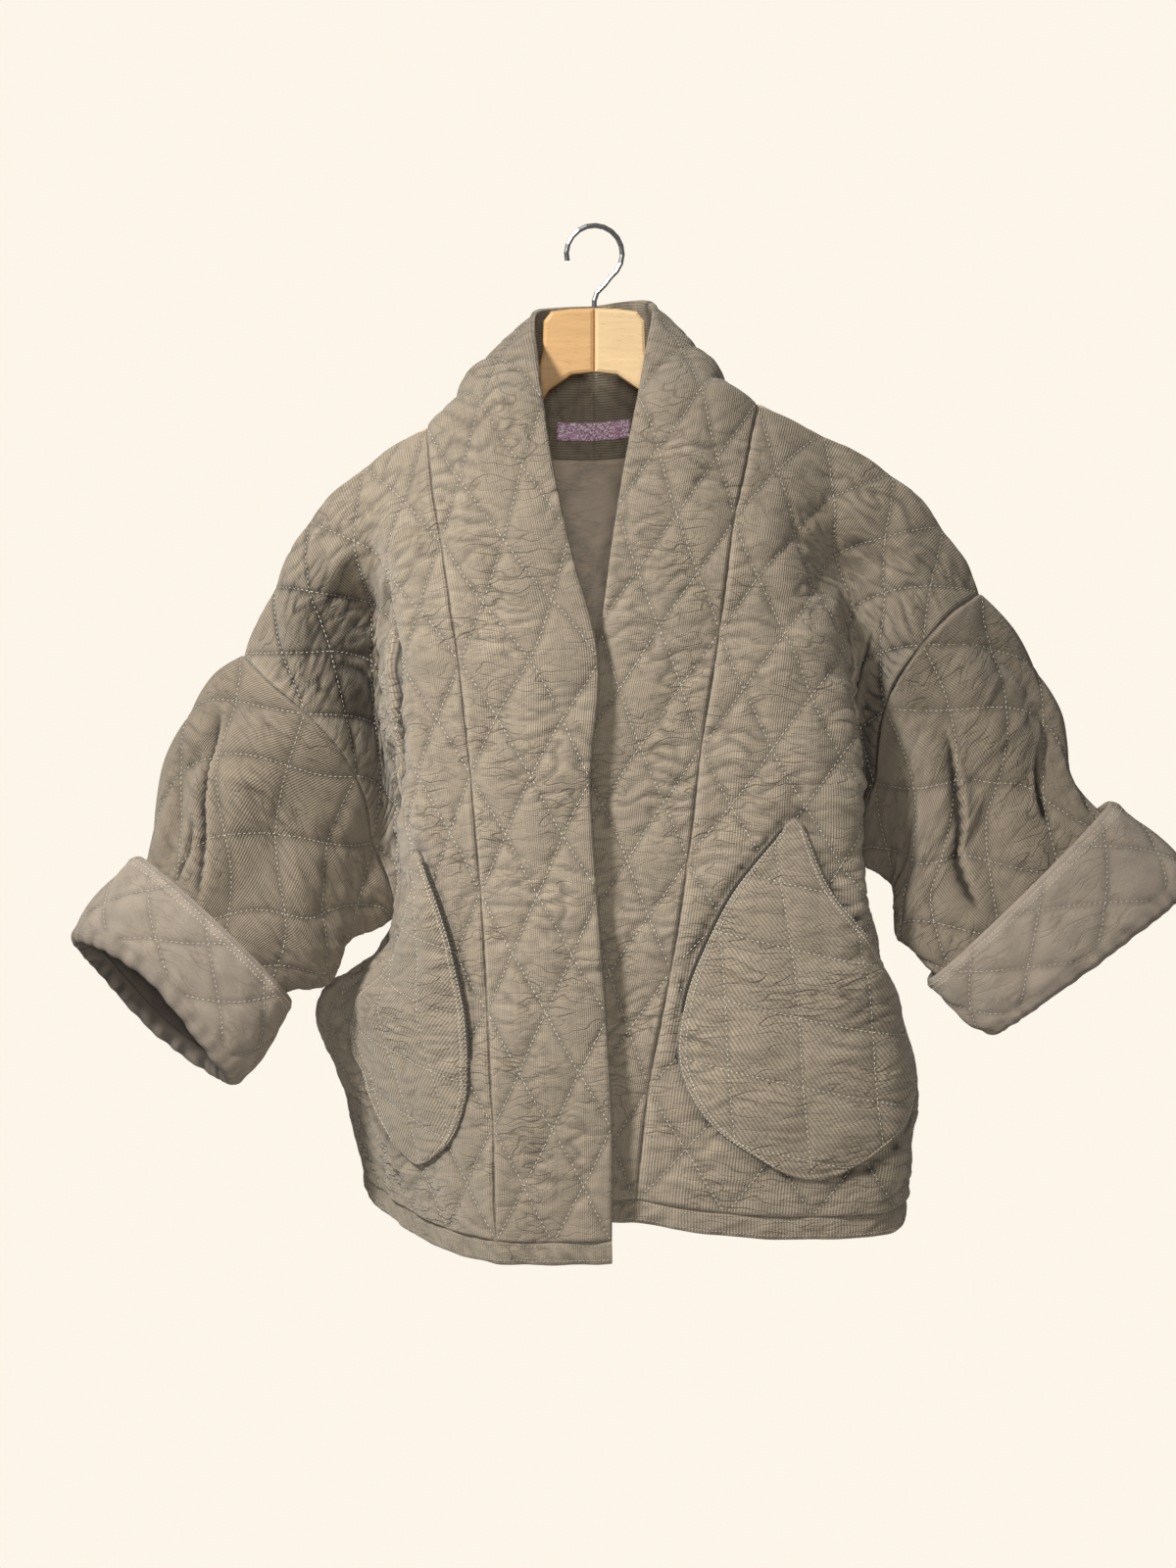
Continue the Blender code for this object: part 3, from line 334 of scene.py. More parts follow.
RIGHT_SLEEVE_FOLDS = (
    ((2.5, 1.5), (3.0, 8.0), -9, 12),
    ((5.0, 1.0), (6.0, 8.0), 6, 14),
    ((8.0, 2.0), (8.5, 8.0), -5, 14),
    ((27.0, 2.0), (26.0, 8.0), -7, 16),
)
LEFT_SLEEVE_FOLDS = (
    ((2.0, 1.0), (2.5, 8.0), -6, 12),
    ((7.0, 1.5), (7.5, 8.0), -9, 12),
    ((4.6, 1.5), (5.0, 7.0), 6, 14),
    ((27.0, 2.0), (26.0, 8.0), -6, 16),
)

print("sections:", len(RIGHT_FRONT) + len(LEFT_FRONT) + len(BACK))

# %% Curves and lofts
def smooth_between(keys, values, at):
    """Values at the places in at, on a smooth curve through values at keys."""
    keys = np.asarray(keys, float)
    values = np.asarray(values, float)
    at = np.asarray(at, float)
    slopes = np.gradient(values, keys, axis=0)
    span = np.clip(np.searchsorted(keys, at, side="right") - 1, 0, len(keys) - 2)
    width = keys[span + 1] - keys[span]
    t = ((at - keys[span]) / width).reshape(-1, *[1] * (values.ndim - 1))
    width = width.reshape(t.shape)
    return ((2 * t**3 - 3 * t**2 + 1) * values[span] + (t**3 - 2 * t**2 + t) * width * slopes[span]
            + (3 * t**2 - 2 * t**3) * values[span + 1] + (t**3 - t**2) * width * slopes[span + 1])


def evenly(points, shares):
    """Points at these shares of the length of a smooth line through the given ones."""
    points = np.asarray(points, float)
    steps = np.linalg.norm(np.diff(points, axis=0), axis=1)
    keys = np.concatenate([[0], np.cumsum(steps)])
    fine = smooth_between(keys, points, np.linspace(0, keys[-1], 240))
    along = np.concatenate([[0], np.cumsum(np.linalg.norm(np.diff(fine, axis=0), axis=1))])
    places = np.asarray(shares, float) * along[-1]
    return np.stack([np.interp(places, along, fine[:, k]) for k in range(3)], axis=1)


def panel(sections, columns, rows=BODY_ROWS):
    """A grid of (rows + 1) by (columns + 1) points through a table of sections."""
    shares = np.linspace(0, 1, columns + 1)
    curves = [evenly(section, shares) for section in sections.values()]
    return smooth_between(list(sections), curves, np.arange(rows + 1))


def grid_normals(grid, around=False):
    """Unit normals of a grid: across the columns times down the rows."""
    if around:
        across = np.roll(grid, -1, axis=1) - np.roll(grid, 1, axis=1)
    else:
        across = np.gradient(grid, axis=1)
    down = np.gradient(grid, axis=0)
    normals = np.cross(across, down)
    return normals / np.maximum(np.linalg.norm(normals, axis=2, keepdims=True), 1e-9)


def fold(grid, folds, outward, around=False):
    """Presses a table of folds into a grid. Its open edges stay where they are."""
    rows, columns = grid.shape[:2]
    down, across = np.mgrid[0:rows, 0:columns].astype(float)
    cell_across, cell_down = 14.0, 20.0
    lift = np.zeros((rows, columns))
    for (c0, r0), (c1, r1), height, half_width in folds:
        along = np.array([(c1 - c0) * cell_across, (r1 - r0) * cell_down])
        length = np.linalg.norm(along)
        dx = (across - c0) * cell_across
        dy = (down - r0) * cell_down
        share = np.clip((dx * along[0] + dy * along[1]) / length**2, 0, 1)
        off = np.hypot(dx - share * along[0], dy - share * along[1])
        lift += height * np.sin(math.pi * (0.15 + 0.7 * share)) * np.exp(-((off / half_width) ** 2))
    edge = np.minimum(down, rows - 1 - down)
    if not around:
        edge = np.minimum(edge, np.minimum(across, columns - 1 - across))
    lift *= np.clip(edge / 2, 0, 1)
    return grid + outward * grid_normals(grid, around) * lift[:, :, None]


def draw_edge(grid, edge, target, reach):
    """Moves one edge of a grid onto the target, and less and less of what lies behind it."""
    count = grid.shape[0] if edge == "first_row" else grid.shape[1]
    share = np.clip(1 - np.arange(count) / reach, 0, 1)
    share = share * share * (3 - 2 * share)
    if edge == "first_column":
        grid += (target - grid[:, 0])[:, None] * share[None, :, None]
    elif edge == "last_column":
        grid += (target - grid[:, -1])[:, None] * share[::-1][None, :, None]
    else:
        grid += (target - grid[0])[None] * share[:, None, None]

# %% The panels
def back_grid(right_front, left_front):
    """The back, whose shoulders and side seams are the fronts' own points."""
    grid = panel(BACK, BACK_COLUMNS)
    grid = fold(grid, BACK_FOLDS, OUTWARD)
    shares = np.linspace(0, 1, ARMHOLE_ROWS + 1)
    for edge, armhole, front in (
        ("first_column", RIGHT_ARMHOLE_BACK, right_front),
        ("last_column", LEFT_ARMHOLE_BACK, left_front),
    ):
        target = front[:, -1].copy()
        target[: ARMHOLE_ROWS + 1] = evenly(armhole, shares)
        target[0] = front[0, -1]
        target[ARMHOLE_ROWS] = front[ARMHOLE_ROWS, -1]
        draw_edge(grid, edge, target, 7)
    neck = evenly(BACK[0][2:9], np.linspace(0, 1, NECK_COLUMNS + 1))
    top = np.concatenate([right_front[0, ::-1], neck[1:-1], left_front[0]])
    draw_edge(grid, "first_row", top, 5)
    return grid


def band_grid(front, neck_half, edge_table):
    """A front band: from the centre back round the neck and down the front edge."""
    seam = np.concatenate([neck_half[:-1], front[:, 0]])
    rows = len(seam) - 1
    table = np.array(edge_table, float)
    edge = smooth_between(table[:, 0], table[:, 1:], np.arange(rows + 1))
    free, bow = edge[:, :3], edge[:, 3]
    along = np.gradient(seam + free, axis=0)
    outward = np.cross(free - seam, along)
    outward /= np.linalg.norm(outward, axis=1, keepdims=True)
    share = np.linspace(0, 1, BAND_COLUMNS + 1)[None, :, None]
    side = -1 if front[0, 0, 0] < 0 else 1
    flat = seam[:, None] * (1 - share) + free[:, None] * share
    return flat + side * (outward * bow[:, None])[:, None] * (4 * share * (1 - share))


def oval(upper, lower, front, behind, axis, count=SLEEVE_RING, grow=0.0):
    """A flattened ring: the upper fold first, then the front, the lower fold, the back."""
    upper, lower = np.asarray(upper, float), np.asarray(lower, float)
    middle = (upper + lower) / 2
    wide = (upper - lower) / 2
    half = np.linalg.norm(wide)
    wide_way = wide / half
    depth_way = np.cross(axis, wide_way)
    depth_way /= np.linalg.norm(depth_way)
    if depth_way[1] > 0:
        depth_way = -depth_way
    turn = np.arange(count) * 2 * math.pi / count
    wide_part = np.cos(turn) * (half + grow)
    depth = np.where(np.sin(turn) >= 0, front + grow, behind + grow)
    depth_part = np.sign(np.sin(turn)) * np.abs(np.sin(turn)) ** 0.85 * depth
    return middle + wide_part[:, None] * wide_way + depth_part[:, None] * depth_way


def sleeve_sizes(table, rows):
    """The sleeve's folds and depths at any rows, and its axis there."""
    keys = [row[0] for row in table]
    values = [(*row[1], *row[2], row[3], row[4]) for row in table]
    sizes = smooth_between(keys, values, rows)
    fine = smooth_between(keys, values, np.linspace(0, keys[-1], 60))
    centres = (fine[:, :3] + fine[:, 3:6]) / 2
    axes = np.gradient(centres, axis=0)
    at = np.interp(rows, np.linspace(0, keys[-1], 60), np.arange(60))
    axes = np.stack([np.interp(at, np.arange(60), axes[:, k]) for k in range(3)], axis=1)
    return sizes, axes / np.linalg.norm(axes, axis=1, keepdims=True)


def sleeve_grid(table, front, back_edge, folds, outward):
    """A sleeve, whose first ring is the armhole that the front and the back leave."""
    rows = np.arange(SLEEVE_ROWS + 1)
    sizes, axes = sleeve_sizes(table, rows)
    rings = np.array([oval(s[:3], s[3:6], s[6], s[7], a) for s, a in zip(sizes, axes)])
    armhole = np.concatenate([front[: ARMHOLE_ROWS + 1, -1], back_edge[1:ARMHOLE_ROWS][::-1]])
    fade = np.clip(1 - rows / 7, 0, 1) ** 2
    rings = rings + (armhole - rings[0])[None] * fade[:, None, None]
    rings = fold(rings, folds, outward, around=True)
    rings[0] = armhole
    lip = cuff_places(table, SLEEVE_END)
    rings[-1] = oval(lip[:3], lip[3:6], lip[6], lip[7], cuff_axis(table))
    return rings


def cuff_axis(table):
    """The way out of the sleeve along the cuff."""
    middles = [(np.array(row[1]) + np.array(row[2])) / 2 for row in table[-2:]]
    axis = middles[1] - middles[0]
    return axis / np.linalg.norm(axis)


def cuff_places(table, distance):
    """The folds and depths of the sleeve at a distance from its opening."""
    edge = np.array((*table[3][1], *table[3][2], table[3][3], table[3][4]), float)
    end = np.array((*table[4][1], *table[4][2], table[4][3], table[4][4]), float)
    axis_length = np.linalg.norm((end[:3] + end[3:6] - edge[:3] - edge[3:6]) / 2)
    share = (distance - 10.0) / axis_length
    return end + (edge - end) * share


def cuff_grid(table):
    """The end of the sleeve turned out and up, from just inside the opening."""
    rings = []
    for distance, grow in CUFF_SECTION:
        place = cuff_places(table, distance)
        rings.append(oval(place[:3], place[3:6], place[6], place[7], cuff_axis(table), grow=grow))
    return np.array(rings)


def hem_grid(edge, sides):
    """The narrow hem below a row of points, with the waves that its gathers give it."""
    count = len(edge)
    wave = np.sin(np.arange(count) * 1.9) * 1.2
    wave[[0, -1]] = 0
    rows = []
    for share in (0.0, 0.5, 1.0):
        drop = np.zeros((count, 3))
        drop[:, 2] = -HEM_HEIGHT * share
        drop += sides * (wave * share)[:, None]
        rows.append(edge + drop)
    return np.array(rows)

def turn_slowly(sums, ring):
    """Evens the normals along an armhole, so that they turn slowly at the underarm."""
    for _ in range(2):
        found = np.array([sums[place] / np.linalg.norm(sums[place]) for place in ring])
        evened = np.roll(found, 1, axis=0) + found + np.roll(found, -1, axis=0)
        for place, normal in zip(ring, evened):
            sums[place] = normal


def shared_normals(grids):
    """Normals at each grid's points, averaged over all the panels that share the point."""
    sums = {}
    keys = {}
    for name, (grid, outward, around) in grids.items():
        rows, columns = grid.shape[:2]
        own = outward * grid_normals(grid, around)
        rounded = np.round(grid * 50).astype(int)
        keys[name] = [[tuple(rounded[r, c]) for c in range(columns)] for r in range(rows)]
        for r in range(rows):
            for c in range(columns):
                place = keys[name][r][c]
                sums[place] = sums.get(place, 0) + own[r, c]
    for name, (_, _, around) in grids.items():
        if around:
            turn_slowly(sums, keys[name][0])
    normals = {}
    for name, rows_of_keys in keys.items():
        found = np.array([[sums[place] for place in row] for row in rows_of_keys])
        normals[name] = found / np.linalg.norm(found, axis=2, keepdims=True)
    return normals

def panel_grids():
    """Every panel of the coat but the cuffs: its grid, its outward sign, and if it is a tube."""
    right_front = fold(panel(RIGHT_FRONT, FRONT_COLUMNS), RIGHT_FRONT_FOLDS, OUTWARD)
    left_front = fold(panel(LEFT_FRONT, FRONT_COLUMNS), LEFT_FRONT_FOLDS, INWARD)
    back = back_grid(right_front, left_front)
    first, middle, last = FRONT_COLUMNS, FRONT_COLUMNS + NECK_ROWS, FRONT_COLUMNS + NECK_COLUMNS
    right_band = band_grid(right_front, back[0, first : middle + 1][::-1], RIGHT_BAND_EDGE)
    left_band = band_grid(left_front, back[0, middle : last + 1], LEFT_BAND_EDGE)
    right_sleeve = sleeve_grid(RIGHT_SLEEVE, right_front, back[:, 0], RIGHT_SLEEVE_FOLDS, INWARD)
    left_sleeve = sleeve_grid(LEFT_SLEEVE, left_front, back[:, -1], LEFT_SLEEVE_FOLDS, OUTWARD)
    right_hem_edge = np.concatenate([right_band[-1, ::-1], right_front[-1, 1:]])
    left_hem_edge = np.concatenate([left_band[-1, ::-1], left_front[-1, 1:]])
    forward = np.array([0, -1.0, 0])
    return {
        "right_front": (right_front, OUTWARD, False),
        "left_front": (left_front, INWARD, False),
        "back": (back, OUTWARD, False),
        "right_band": (right_band, INWARD, False),
        "left_band": (left_band, OUTWARD, False),
        "right_sleeve": (right_sleeve, INWARD, True),
        "left_sleeve": (left_sleeve, OUTWARD, True),
        "right_hem": (hem_grid(right_hem_edge, forward), OUTWARD, False),
        "left_hem": (hem_grid(left_hem_edge, forward), INWARD, False),
        "back_hem": (hem_grid(back[-1], -forward), OUTWARD, False),
    }


coarse = panel_grids()
normals = shared_normals(coarse)
print("panels:", ", ".join(coarse))

# %% [markdown]
# The cloth's relief. Padding between two cloths rises between its stitched lines, and
# washing shrinks the cloth along the stitches, which throws small puckers. The puffs are
# a product of two sine waves, so that they meet in sharp stitched valleys. The puckers
# are noise that is stretched across the panel, because the photograph shows them level.

# %% Relief
CELL_ACROSS = 14.0
CELL_DOWN = 20.25
STITCHED = 1.5
PUFF = 4.0
INSIDE = 2.2


def noise(x, y, seed):
    """Smooth gradient noise between about -1 and 1, the same on every run."""
    column, row = np.floor(x).astype(int), np.floor(y).astype(int)
    s, t = x - column, y - row
    total = np.zeros_like(s)
    for i in (0, 1):
        for j in (0, 1):
            mixed = (column + i) * 374761393 + (row + j) * 668265263 + seed * 69069
            mixed = (mixed ^ (mixed >> 13)) * 1274126177
            angle = ((mixed ^ (mixed >> 16)) & 65535) * (2 * math.pi / 65536)
            slope = np.cos(angle) * (s - i) + np.sin(angle) * (t - j)
            fade_s = 1 - np.abs(s - i) ** 3 * (np.abs(s - i) * (6 * np.abs(s - i) - 15) + 10)
            fade_t = 1 - np.abs(t - j) ** 3 * (np.abs(t - j) * (6 * np.abs(t - j) - 15) + 10)
            total += slope * fade_s * fade_t
    return total * 1.5


def smoothstep(x):
    x = np.clip(x, 0, 1)
    return x * x * (3 - 2 * x)


def puffs(one, other):
    """Puffed diamonds between two families of stitched lines, 0 on a line and 1 between."""
    return (np.abs(np.sin(math.pi * one)) * np.abs(np.sin(math.pi * other))) ** 0.42


def puckers(x, y, seed, level=1.0):
    """Small level wrinkles and a few crisp creases, patchy, in millimetres."""
    patch = np.clip(0.7 + 0.9 * noise(x / 52, y / 46, seed + 1), 0.15, 1.5)
    wander = 7 * noise(x / 34, y / 60, seed + 2)
    large = noise(x / 30, (y + wander) / 9.5, seed + 3)
    small = noise(x / 13, (y + wander) / 5.0, seed + 4)
    crease = np.exp(-((noise(x / 40, (y + wander) / 13, seed + 5) / 0.15) ** 2))
    return level * patch * (0.75 * large + 0.3 * small - 1.1 * crease)


def waver(x, y, seed):
    """How far a stitched line strays, in parts of the lines' spacing."""
    return 0.045 * noise(x / 70, y / 70, seed + 9)


def softened(values, cells, around):
    """A grid's values, each averaged with those around it."""
    for axis, reach in ((0, cells[0]), (1, cells[1])):
        total = np.zeros_like(values)
        pad = [(0, 0), (0, 0)]
        pad[axis] = (reach, reach)
        wide = np.pad(values, pad, mode="wrap" if around and axis == 1 else "edge")
        for k in range(2 * reach + 1):
            total += wide[k:k + values.shape[0]] if axis == 0 else wide[:, k:k + values.shape[1]]
        values = total / (2 * reach + 1)
    return values


def high_and_low(height, around):
    """Where a surface stands above (to 0.4) or lies below (to -0.4) what is around it."""
    return 0.4 * np.tanh((height - softened(height, (2, 2), around)) / 0.7)


def crumples(x, y, seed):
    """Larger soft creases with crisp ridges, in millimetres."""
    wander = 14 * noise(x / 70, y / 60, seed + 5)
    ridge = 1 - np.abs(noise((x + wander) / 48, (y + wander) / 24, seed + 6)) * 1.6
    return 1.5 * ridge + 1.1 * noise(x / 32, y / 20, seed + 7)


print("puffs rise", PUFF, "mm")

# %% Finer grids
SEAM_REACH = (0.02, 0.06, 0.12, 0.2)


def stations(cells, fine, ends=(True, True)):
    """Places along a side of a panel: evenly spaced, and closer together at its ends."""
    places = list(np.linspace(0, cells, cells * fine + 1))
    if ends[0]:
        places += list(SEAM_REACH)
    if ends[1]:
        places += [cells - reach for reach in SEAM_REACH]
    return np.array(sorted(set(np.round(places, 4))))


def spread(grid, at_rows, at_columns, around=False):
    """A smooth finer grid through the points of a coarse one."""
    tall = smooth_between(np.arange(len(grid)), grid, at_rows)
    wide = np.swapaxes(tall, 0, 1)
    if around:
        count = len(wide)
        wide = np.concatenate([wide[-2:], wide, wide[:3]])
        found = smooth_between(np.arange(-2, count + 3), wide, at_columns)
    else:
        found = smooth_between(np.arange(len(wide)), wide, at_columns)
    return np.swapaxes(found, 0, 1)


def unit(vectors):
    return vectors / np.maximum(np.linalg.norm(vectors, axis=-1, keepdims=True), 1e-9)


print("closest stations:", SEAM_REACH)

# %% [markdown]
# A wall of cloth has an outside, an inside and the rim that joins them. At a seam the
# outside dips to the stitches, and at a free edge both sides round over to a fold.

# %% Walls of cloth
def cloth_object(name, points, faces, kinds, uvs, finishes, relief=None):
    """A mesh object from points in millimetres, with a cloth map in metres."""
    mesh = bpy.data.meshes.new(name)
    mesh.from_pydata((points * MM).tolist(), [], faces.tolist())
    for finish in finishes:
        mesh.materials.append(finish)
    mesh.polygons.foreach_set("material_index", kinds)
    layer = mesh.uv_layers.new(name="cloth")
    loops = np.empty(len(mesh.loops), int)
    mesh.loops.foreach_get("vertex_index", loops)
    layer.data.foreach_set("uv", (uvs[loops] * MM).ravel())
    # Per point: real wear on the ridges and painted shade in the hollows.
    worn_and_shaded = np.full(len(points), 0.5) if relief is None else np.clip(0.5 + 0.75 * relief, 0, 1)
    mesh.attributes.new("relief", "FLOAT", "POINT").data.foreach_set("value", worn_and_shaded.astype(np.float32))
    mesh.shade_smooth()
    mesh.update()
    thing = bpy.data.objects.new(name, mesh)
    bpy.context.scene.collection.objects.link(thing)
    return thing


def enclosed(points, quads):
    """The volume inside a closed mesh, below zero where its faces point inwards."""
    a, b, c, d = (points[quads[:, k]] for k in range(4))
    return (np.einsum("ij,ij->", a, np.cross(b, c)) + np.einsum("ij,ij->", a, np.cross(c, d))) / 6


def wall_of_cloth(name, outer, inner, uv, around, finishes, relief=None):
    """Joins an outer and an inner grid of points into one closed wall."""
    rows, columns = outer.shape[:2]
    points = np.concatenate([outer.reshape(-1, 3), inner.reshape(-1, 3)])
    uvs = np.concatenate([uv.reshape(-1, 2), uv.reshape(-1, 2)])
    index = np.arange(rows * columns).reshape(rows, columns)
    after = np.roll(index, -1, axis=1) if around else index[:, 1:]
    before = index if around else index[:, :-1]
    quads = np.stack([before[:-1], after[:-1], after[1:], before[1:]], axis=-1).reshape(-1, 4)
    inside = quads[:, ::-1] + rows * columns
    rims = []
    for line, turned in ((index[0], False), (index[-1], True)):
        line = np.append(line, line[0]) if around else line
        rims.append((line, turned))
    if not around:
        rims += [(index[:, 0], True), (index[:, -1], False)]
    sides = []
    for line, turned in rims:
        a, b = line[:-1], line[1:]
        quad = np.stack([b, a, a + rows * columns, b + rows * columns], axis=-1)
        sides.append(quad[:, ::-1] if turned else quad)
    faces = np.concatenate([quads, inside] + sides)
    kinds = np.concatenate([np.zeros(len(quads), int), np.ones(len(faces) - len(quads), int)])
    if enclosed(points, faces) < 0:
        faces = faces[:, ::-1]
    if relief is not None:
        relief = np.concatenate([relief.ravel(), relief.ravel() * 0.6])
    return cloth_object(name, points, faces, kinds, uvs, finishes, relief)


def side_distance(at, last, cell):
    """How far each place lies from the first and from the last end, in millimetres."""
    return at * cell, (last - at) * cell


def rounding(distance, radius=3.0):
    """How thick a folded edge still is near its fold."""
    share = np.clip(distance / radius, 0, 1)
    return np.maximum(np.sqrt(1 - (1 - share) ** 2), 0.06)


def groove(distance, depth=0.60, reach=0.9):
    """How the outside dips to a seam."""
    return 1 - depth * np.exp(-((distance / reach) ** 2))


print("walls ready")

# %% [markdown]
# Materials. Needlecord is a pile cloth with fine ribs: the ribs catch light, the grooves between
# them are darker, washing lifts a pale nap on what stands up, and hollows and creases get
# painted shade. The ribs come from a wave along the panel's own map, so they turn with every panel.

# %% Materials
def add(tree, kind, **values):
    """A shader node with its settings."""
    made = tree.nodes.new(kind)
    for key, value in values.items():
        setattr(made, key, value)
    return made


def new_material(name, roughness):
    made = bpy.data.materials.new(name)
    made.use_nodes = True
    shader = made.node_tree.nodes["Principled BSDF"]
    shader.inputs["Roughness"].default_value = roughness
    return made, made.node_tree, shader


def mottle(tree, scale, detail, coordinates):
    """Even noise on the object's own coordinates."""
    made = add(tree, "ShaderNodeTexNoise")
    made.inputs["Scale"].default_value = scale
    made.inputs["Detail"].default_value = detail
    tree.links.new(coordinates, made.inputs["Vector"])
    return made.outputs["Fac"]


def ramp(tree, value, low, high):
    """A colour between two, by a value."""
    made = add(tree, "ShaderNodeMix", data_type="RGBA")
    tree.links.new(value, made.inputs[0])
    made.inputs[6].default_value = (*low, 1)
    made.inputs[7].default_value = (*high, 1)
    return made.outputs[2]


def blend_colours(tree, kind, amount, one, other):
    made = add(tree, "ShaderNodeMix", data_type="RGBA", blend_type=kind)
    if isinstance(amount, float):
        made.inputs[0].default_value = amount
    else:
        tree.links.new(amount, made.inputs[0])
    for socket, value in ((made.inputs[6], one), (made.inputs[7], other)):
        if isinstance(value, tuple):
            socket.default_value = (*value, 1)
        else:
            tree.links.new(value, socket)
    return made.outputs[2]


def maths(tree, operation, *values):
    """A sum on numbers or on sockets."""
    made = add(tree, "ShaderNodeMath", operation=operation)
    for socket, value in zip(made.inputs, values):
        if isinstance(value, (int, float)):
            socket.default_value = value
        else:
            tree.links.new(value, socket)
    return made.outputs[0]


# How bright the nap is, from painted shade in the deepest fold to the most worn ridge, as shares of
# 1.4.
WEAR_AND_SHADE_TONES = ((0.0, 0.10), (0.24, 0.46), (0.5, 0.66), (1.0, 1.0))


def worn_ridges_and_shade(tree):
    """Pale where the cloth stands up and wears, and painted shade where stitches, slits and hollows lie
    low.
    """
    worn_and_shaded = add(tree, "ShaderNodeAttribute", attribute_name="relief")
    tones = add(tree, "ShaderNodeValToRGB")
    tree.links.new(worn_and_shaded.outputs["Fac"], tones.inputs[0])
    stops = tones.color_ramp.elements
    for _ in range(len(WEAR_AND_SHADE_TONES) - len(stops)):
        stops.new(0.5)
    for stop, (place, tone) in zip(stops, WEAR_AND_SHADE_TONES):
        stop.position = place
        stop.color = (tone, 0.985 * tone, 0.965 * tone, 1)
    return blend_colours(tree, "MULTIPLY", 1.0, tones.outputs["Color"], (1.4, 1.4, 1.4))


def creases(tree, cloth):
    """Thin level folds left by washing: 0 in a fold and 1 on smooth cloth."""
    drift = stretched(tree, (30.0, 18.0), cloth)
    bent = add(tree, "ShaderNodeVectorMath", operation="ADD")
    tree.links.new(cloth, bent.inputs[0])
    shift = add(tree, "ShaderNodeCombineXYZ")
    tree.links.new(maths(tree, "MULTIPLY", drift, 0.016), shift.inputs[1])
    tree.links.new(shift.outputs[0], bent.inputs[1])
    depths = []
    for scale, width in (((26.0, 92.0), 0.030), ((58.0, 170.0), 0.040)):
        wave = stretched(tree, scale, bent.outputs[0], 1.0)
        line = maths(tree, "ABSOLUTE", maths(tree, "SUBTRACT", wave, 0.5))
        depths.append(maths(tree, "MINIMUM", maths(tree, "DIVIDE", line, width), 1.0))
    patch = stretched(tree, (17.0, 21.0), cloth, 1.0)
    patch = maths(tree, "MULTIPLY", maths(tree, "SUBTRACT", patch, 0.36), 4.0)
    patch = maths(tree, "MINIMUM", maths(tree, "MAXIMUM", patch, 0.3), 1.0)
    depth = maths(tree, "MULTIPLY", depths[0], maths(tree, "MULTIPLY_ADD", depths[1], 0.5, 0.5))
    held = maths(tree, "MULTIPLY", maths(tree, "SUBTRACT", 1.0, depth), patch)
    return maths(tree, "SUBTRACT", 1.0, held)


def stretched(tree, scale, source, detail=3.0):
    """Noise drawn out along one direction of the cloth's map."""
    made = add(tree, "ShaderNodeMapping")
    made.inputs["Scale"].default_value = (*scale, 1.0)
    tree.links.new(source, made.inputs["Vector"])
    return mottle(tree, 1.0, detail, made.outputs[0])


def needlecord(name="needlecord", tint=(1.0, 1.0, 1.0), turn=0.0, rib=1.7):
    """Ribbed pile cloth. turn is the ribs' angle to the panel's length, in degrees."""
    made, tree, shader = new_material(name, 0.92)
    place = add(tree, "ShaderNodeTexCoord")
    cloth = add(tree, "ShaderNodeUVMap", uv_map="cloth")
    turned = add(tree, "ShaderNodeMapping")
    turned.inputs["Rotation"].default_value = (0, 0, math.radians(turn))
    tree.links.new(cloth.outputs[0], turned.inputs["Vector"])
    split = add(tree, "ShaderNodeSeparateXYZ")
    tree.links.new(turned.outputs[0], split.inputs[0])
    drift = mottle(tree, 60.0, 2.0, place.outputs["Object"])
    across = maths(tree, "ADD", split.outputs[0], maths(tree, "MULTIPLY", drift, 0.0016))
    wave = maths(tree, "SINE", maths(tree, "MULTIPLY", across, 2 * math.pi / (rib * MM)))
    rib_height = maths(tree, "MULTIPLY_ADD", wave, 0.5, 0.5)
    fuzz = mottle(tree, 1400.0, 3.0, place.outputs["Object"])
    wash = mottle(tree, 22.0, 4.0, place.outputs["Object"])
    deep = tuple(a * b for a, b in zip((0.205, 0.172, 0.132), tint))
    pale = tuple(a * b for a, b in zip((0.345, 0.297, 0.236), tint))
    colour = ramp(tree, rib_height, deep, pale)
    washed = ramp(tree, wash, (0.78, 0.78, 0.78), (1.2, 1.19, 1.17))
    colour = blend_colours(tree, "MULTIPLY", 0.9, colour, washed)
    flecks = ramp(tree, fuzz, (0.80, 0.80, 0.80), (1.22, 1.21, 1.19))
    colour = blend_colours(tree, "MULTIPLY", 0.75, colour, flecks)
    colour = blend_colours(tree, "MULTIPLY", 1.0, colour, worn_ridges_and_shade(tree))
    streaks = stretched(tree, (420.0, 24.0), cloth.outputs[0])
    streaked = ramp(tree, streaks, (0.78, 0.78, 0.78), (1.24, 1.23, 1.21))
    colour = blend_colours(tree, "MULTIPLY", 0.8, colour, streaked)
    folds = creases(tree, cloth.outputs[0])
    # Painted shade in the creases' lines, beside their bump.
    folded = ramp(tree, folds, (0.70, 0.68, 0.65), (1.04, 1.04, 1.04))
    colour = blend_colours(tree, "MULTIPLY", 1.0, colour, folded)
    tree.links.new(colour, shader.inputs["Base Color"])
    height = maths(tree, "ADD", rib_height, maths(tree, "MULTIPLY", fuzz, 0.9))
    height = maths(tree, "ADD", height, maths(tree, "MULTIPLY", folds, 2.6))
    bump = add(tree, "ShaderNodeBump")
    bump.inputs["Strength"].default_value = 0.6
    bump.inputs["Distance"].default_value = 0.0007
    tree.links.new(height, bump.inputs["Height"])
    tree.links.new(bump.outputs[0], shader.inputs["Normal"])
    shader.inputs["Sheen Weight"].default_value = 0.35
    shader.inputs["Sheen Roughness"].default_value = 0.55
    shader.inputs["Sheen Tint"].default_value = (0.95, 0.88, 0.78, 1)
    shader.inputs["Specular IOR Level"].default_value = 0.15
    return made


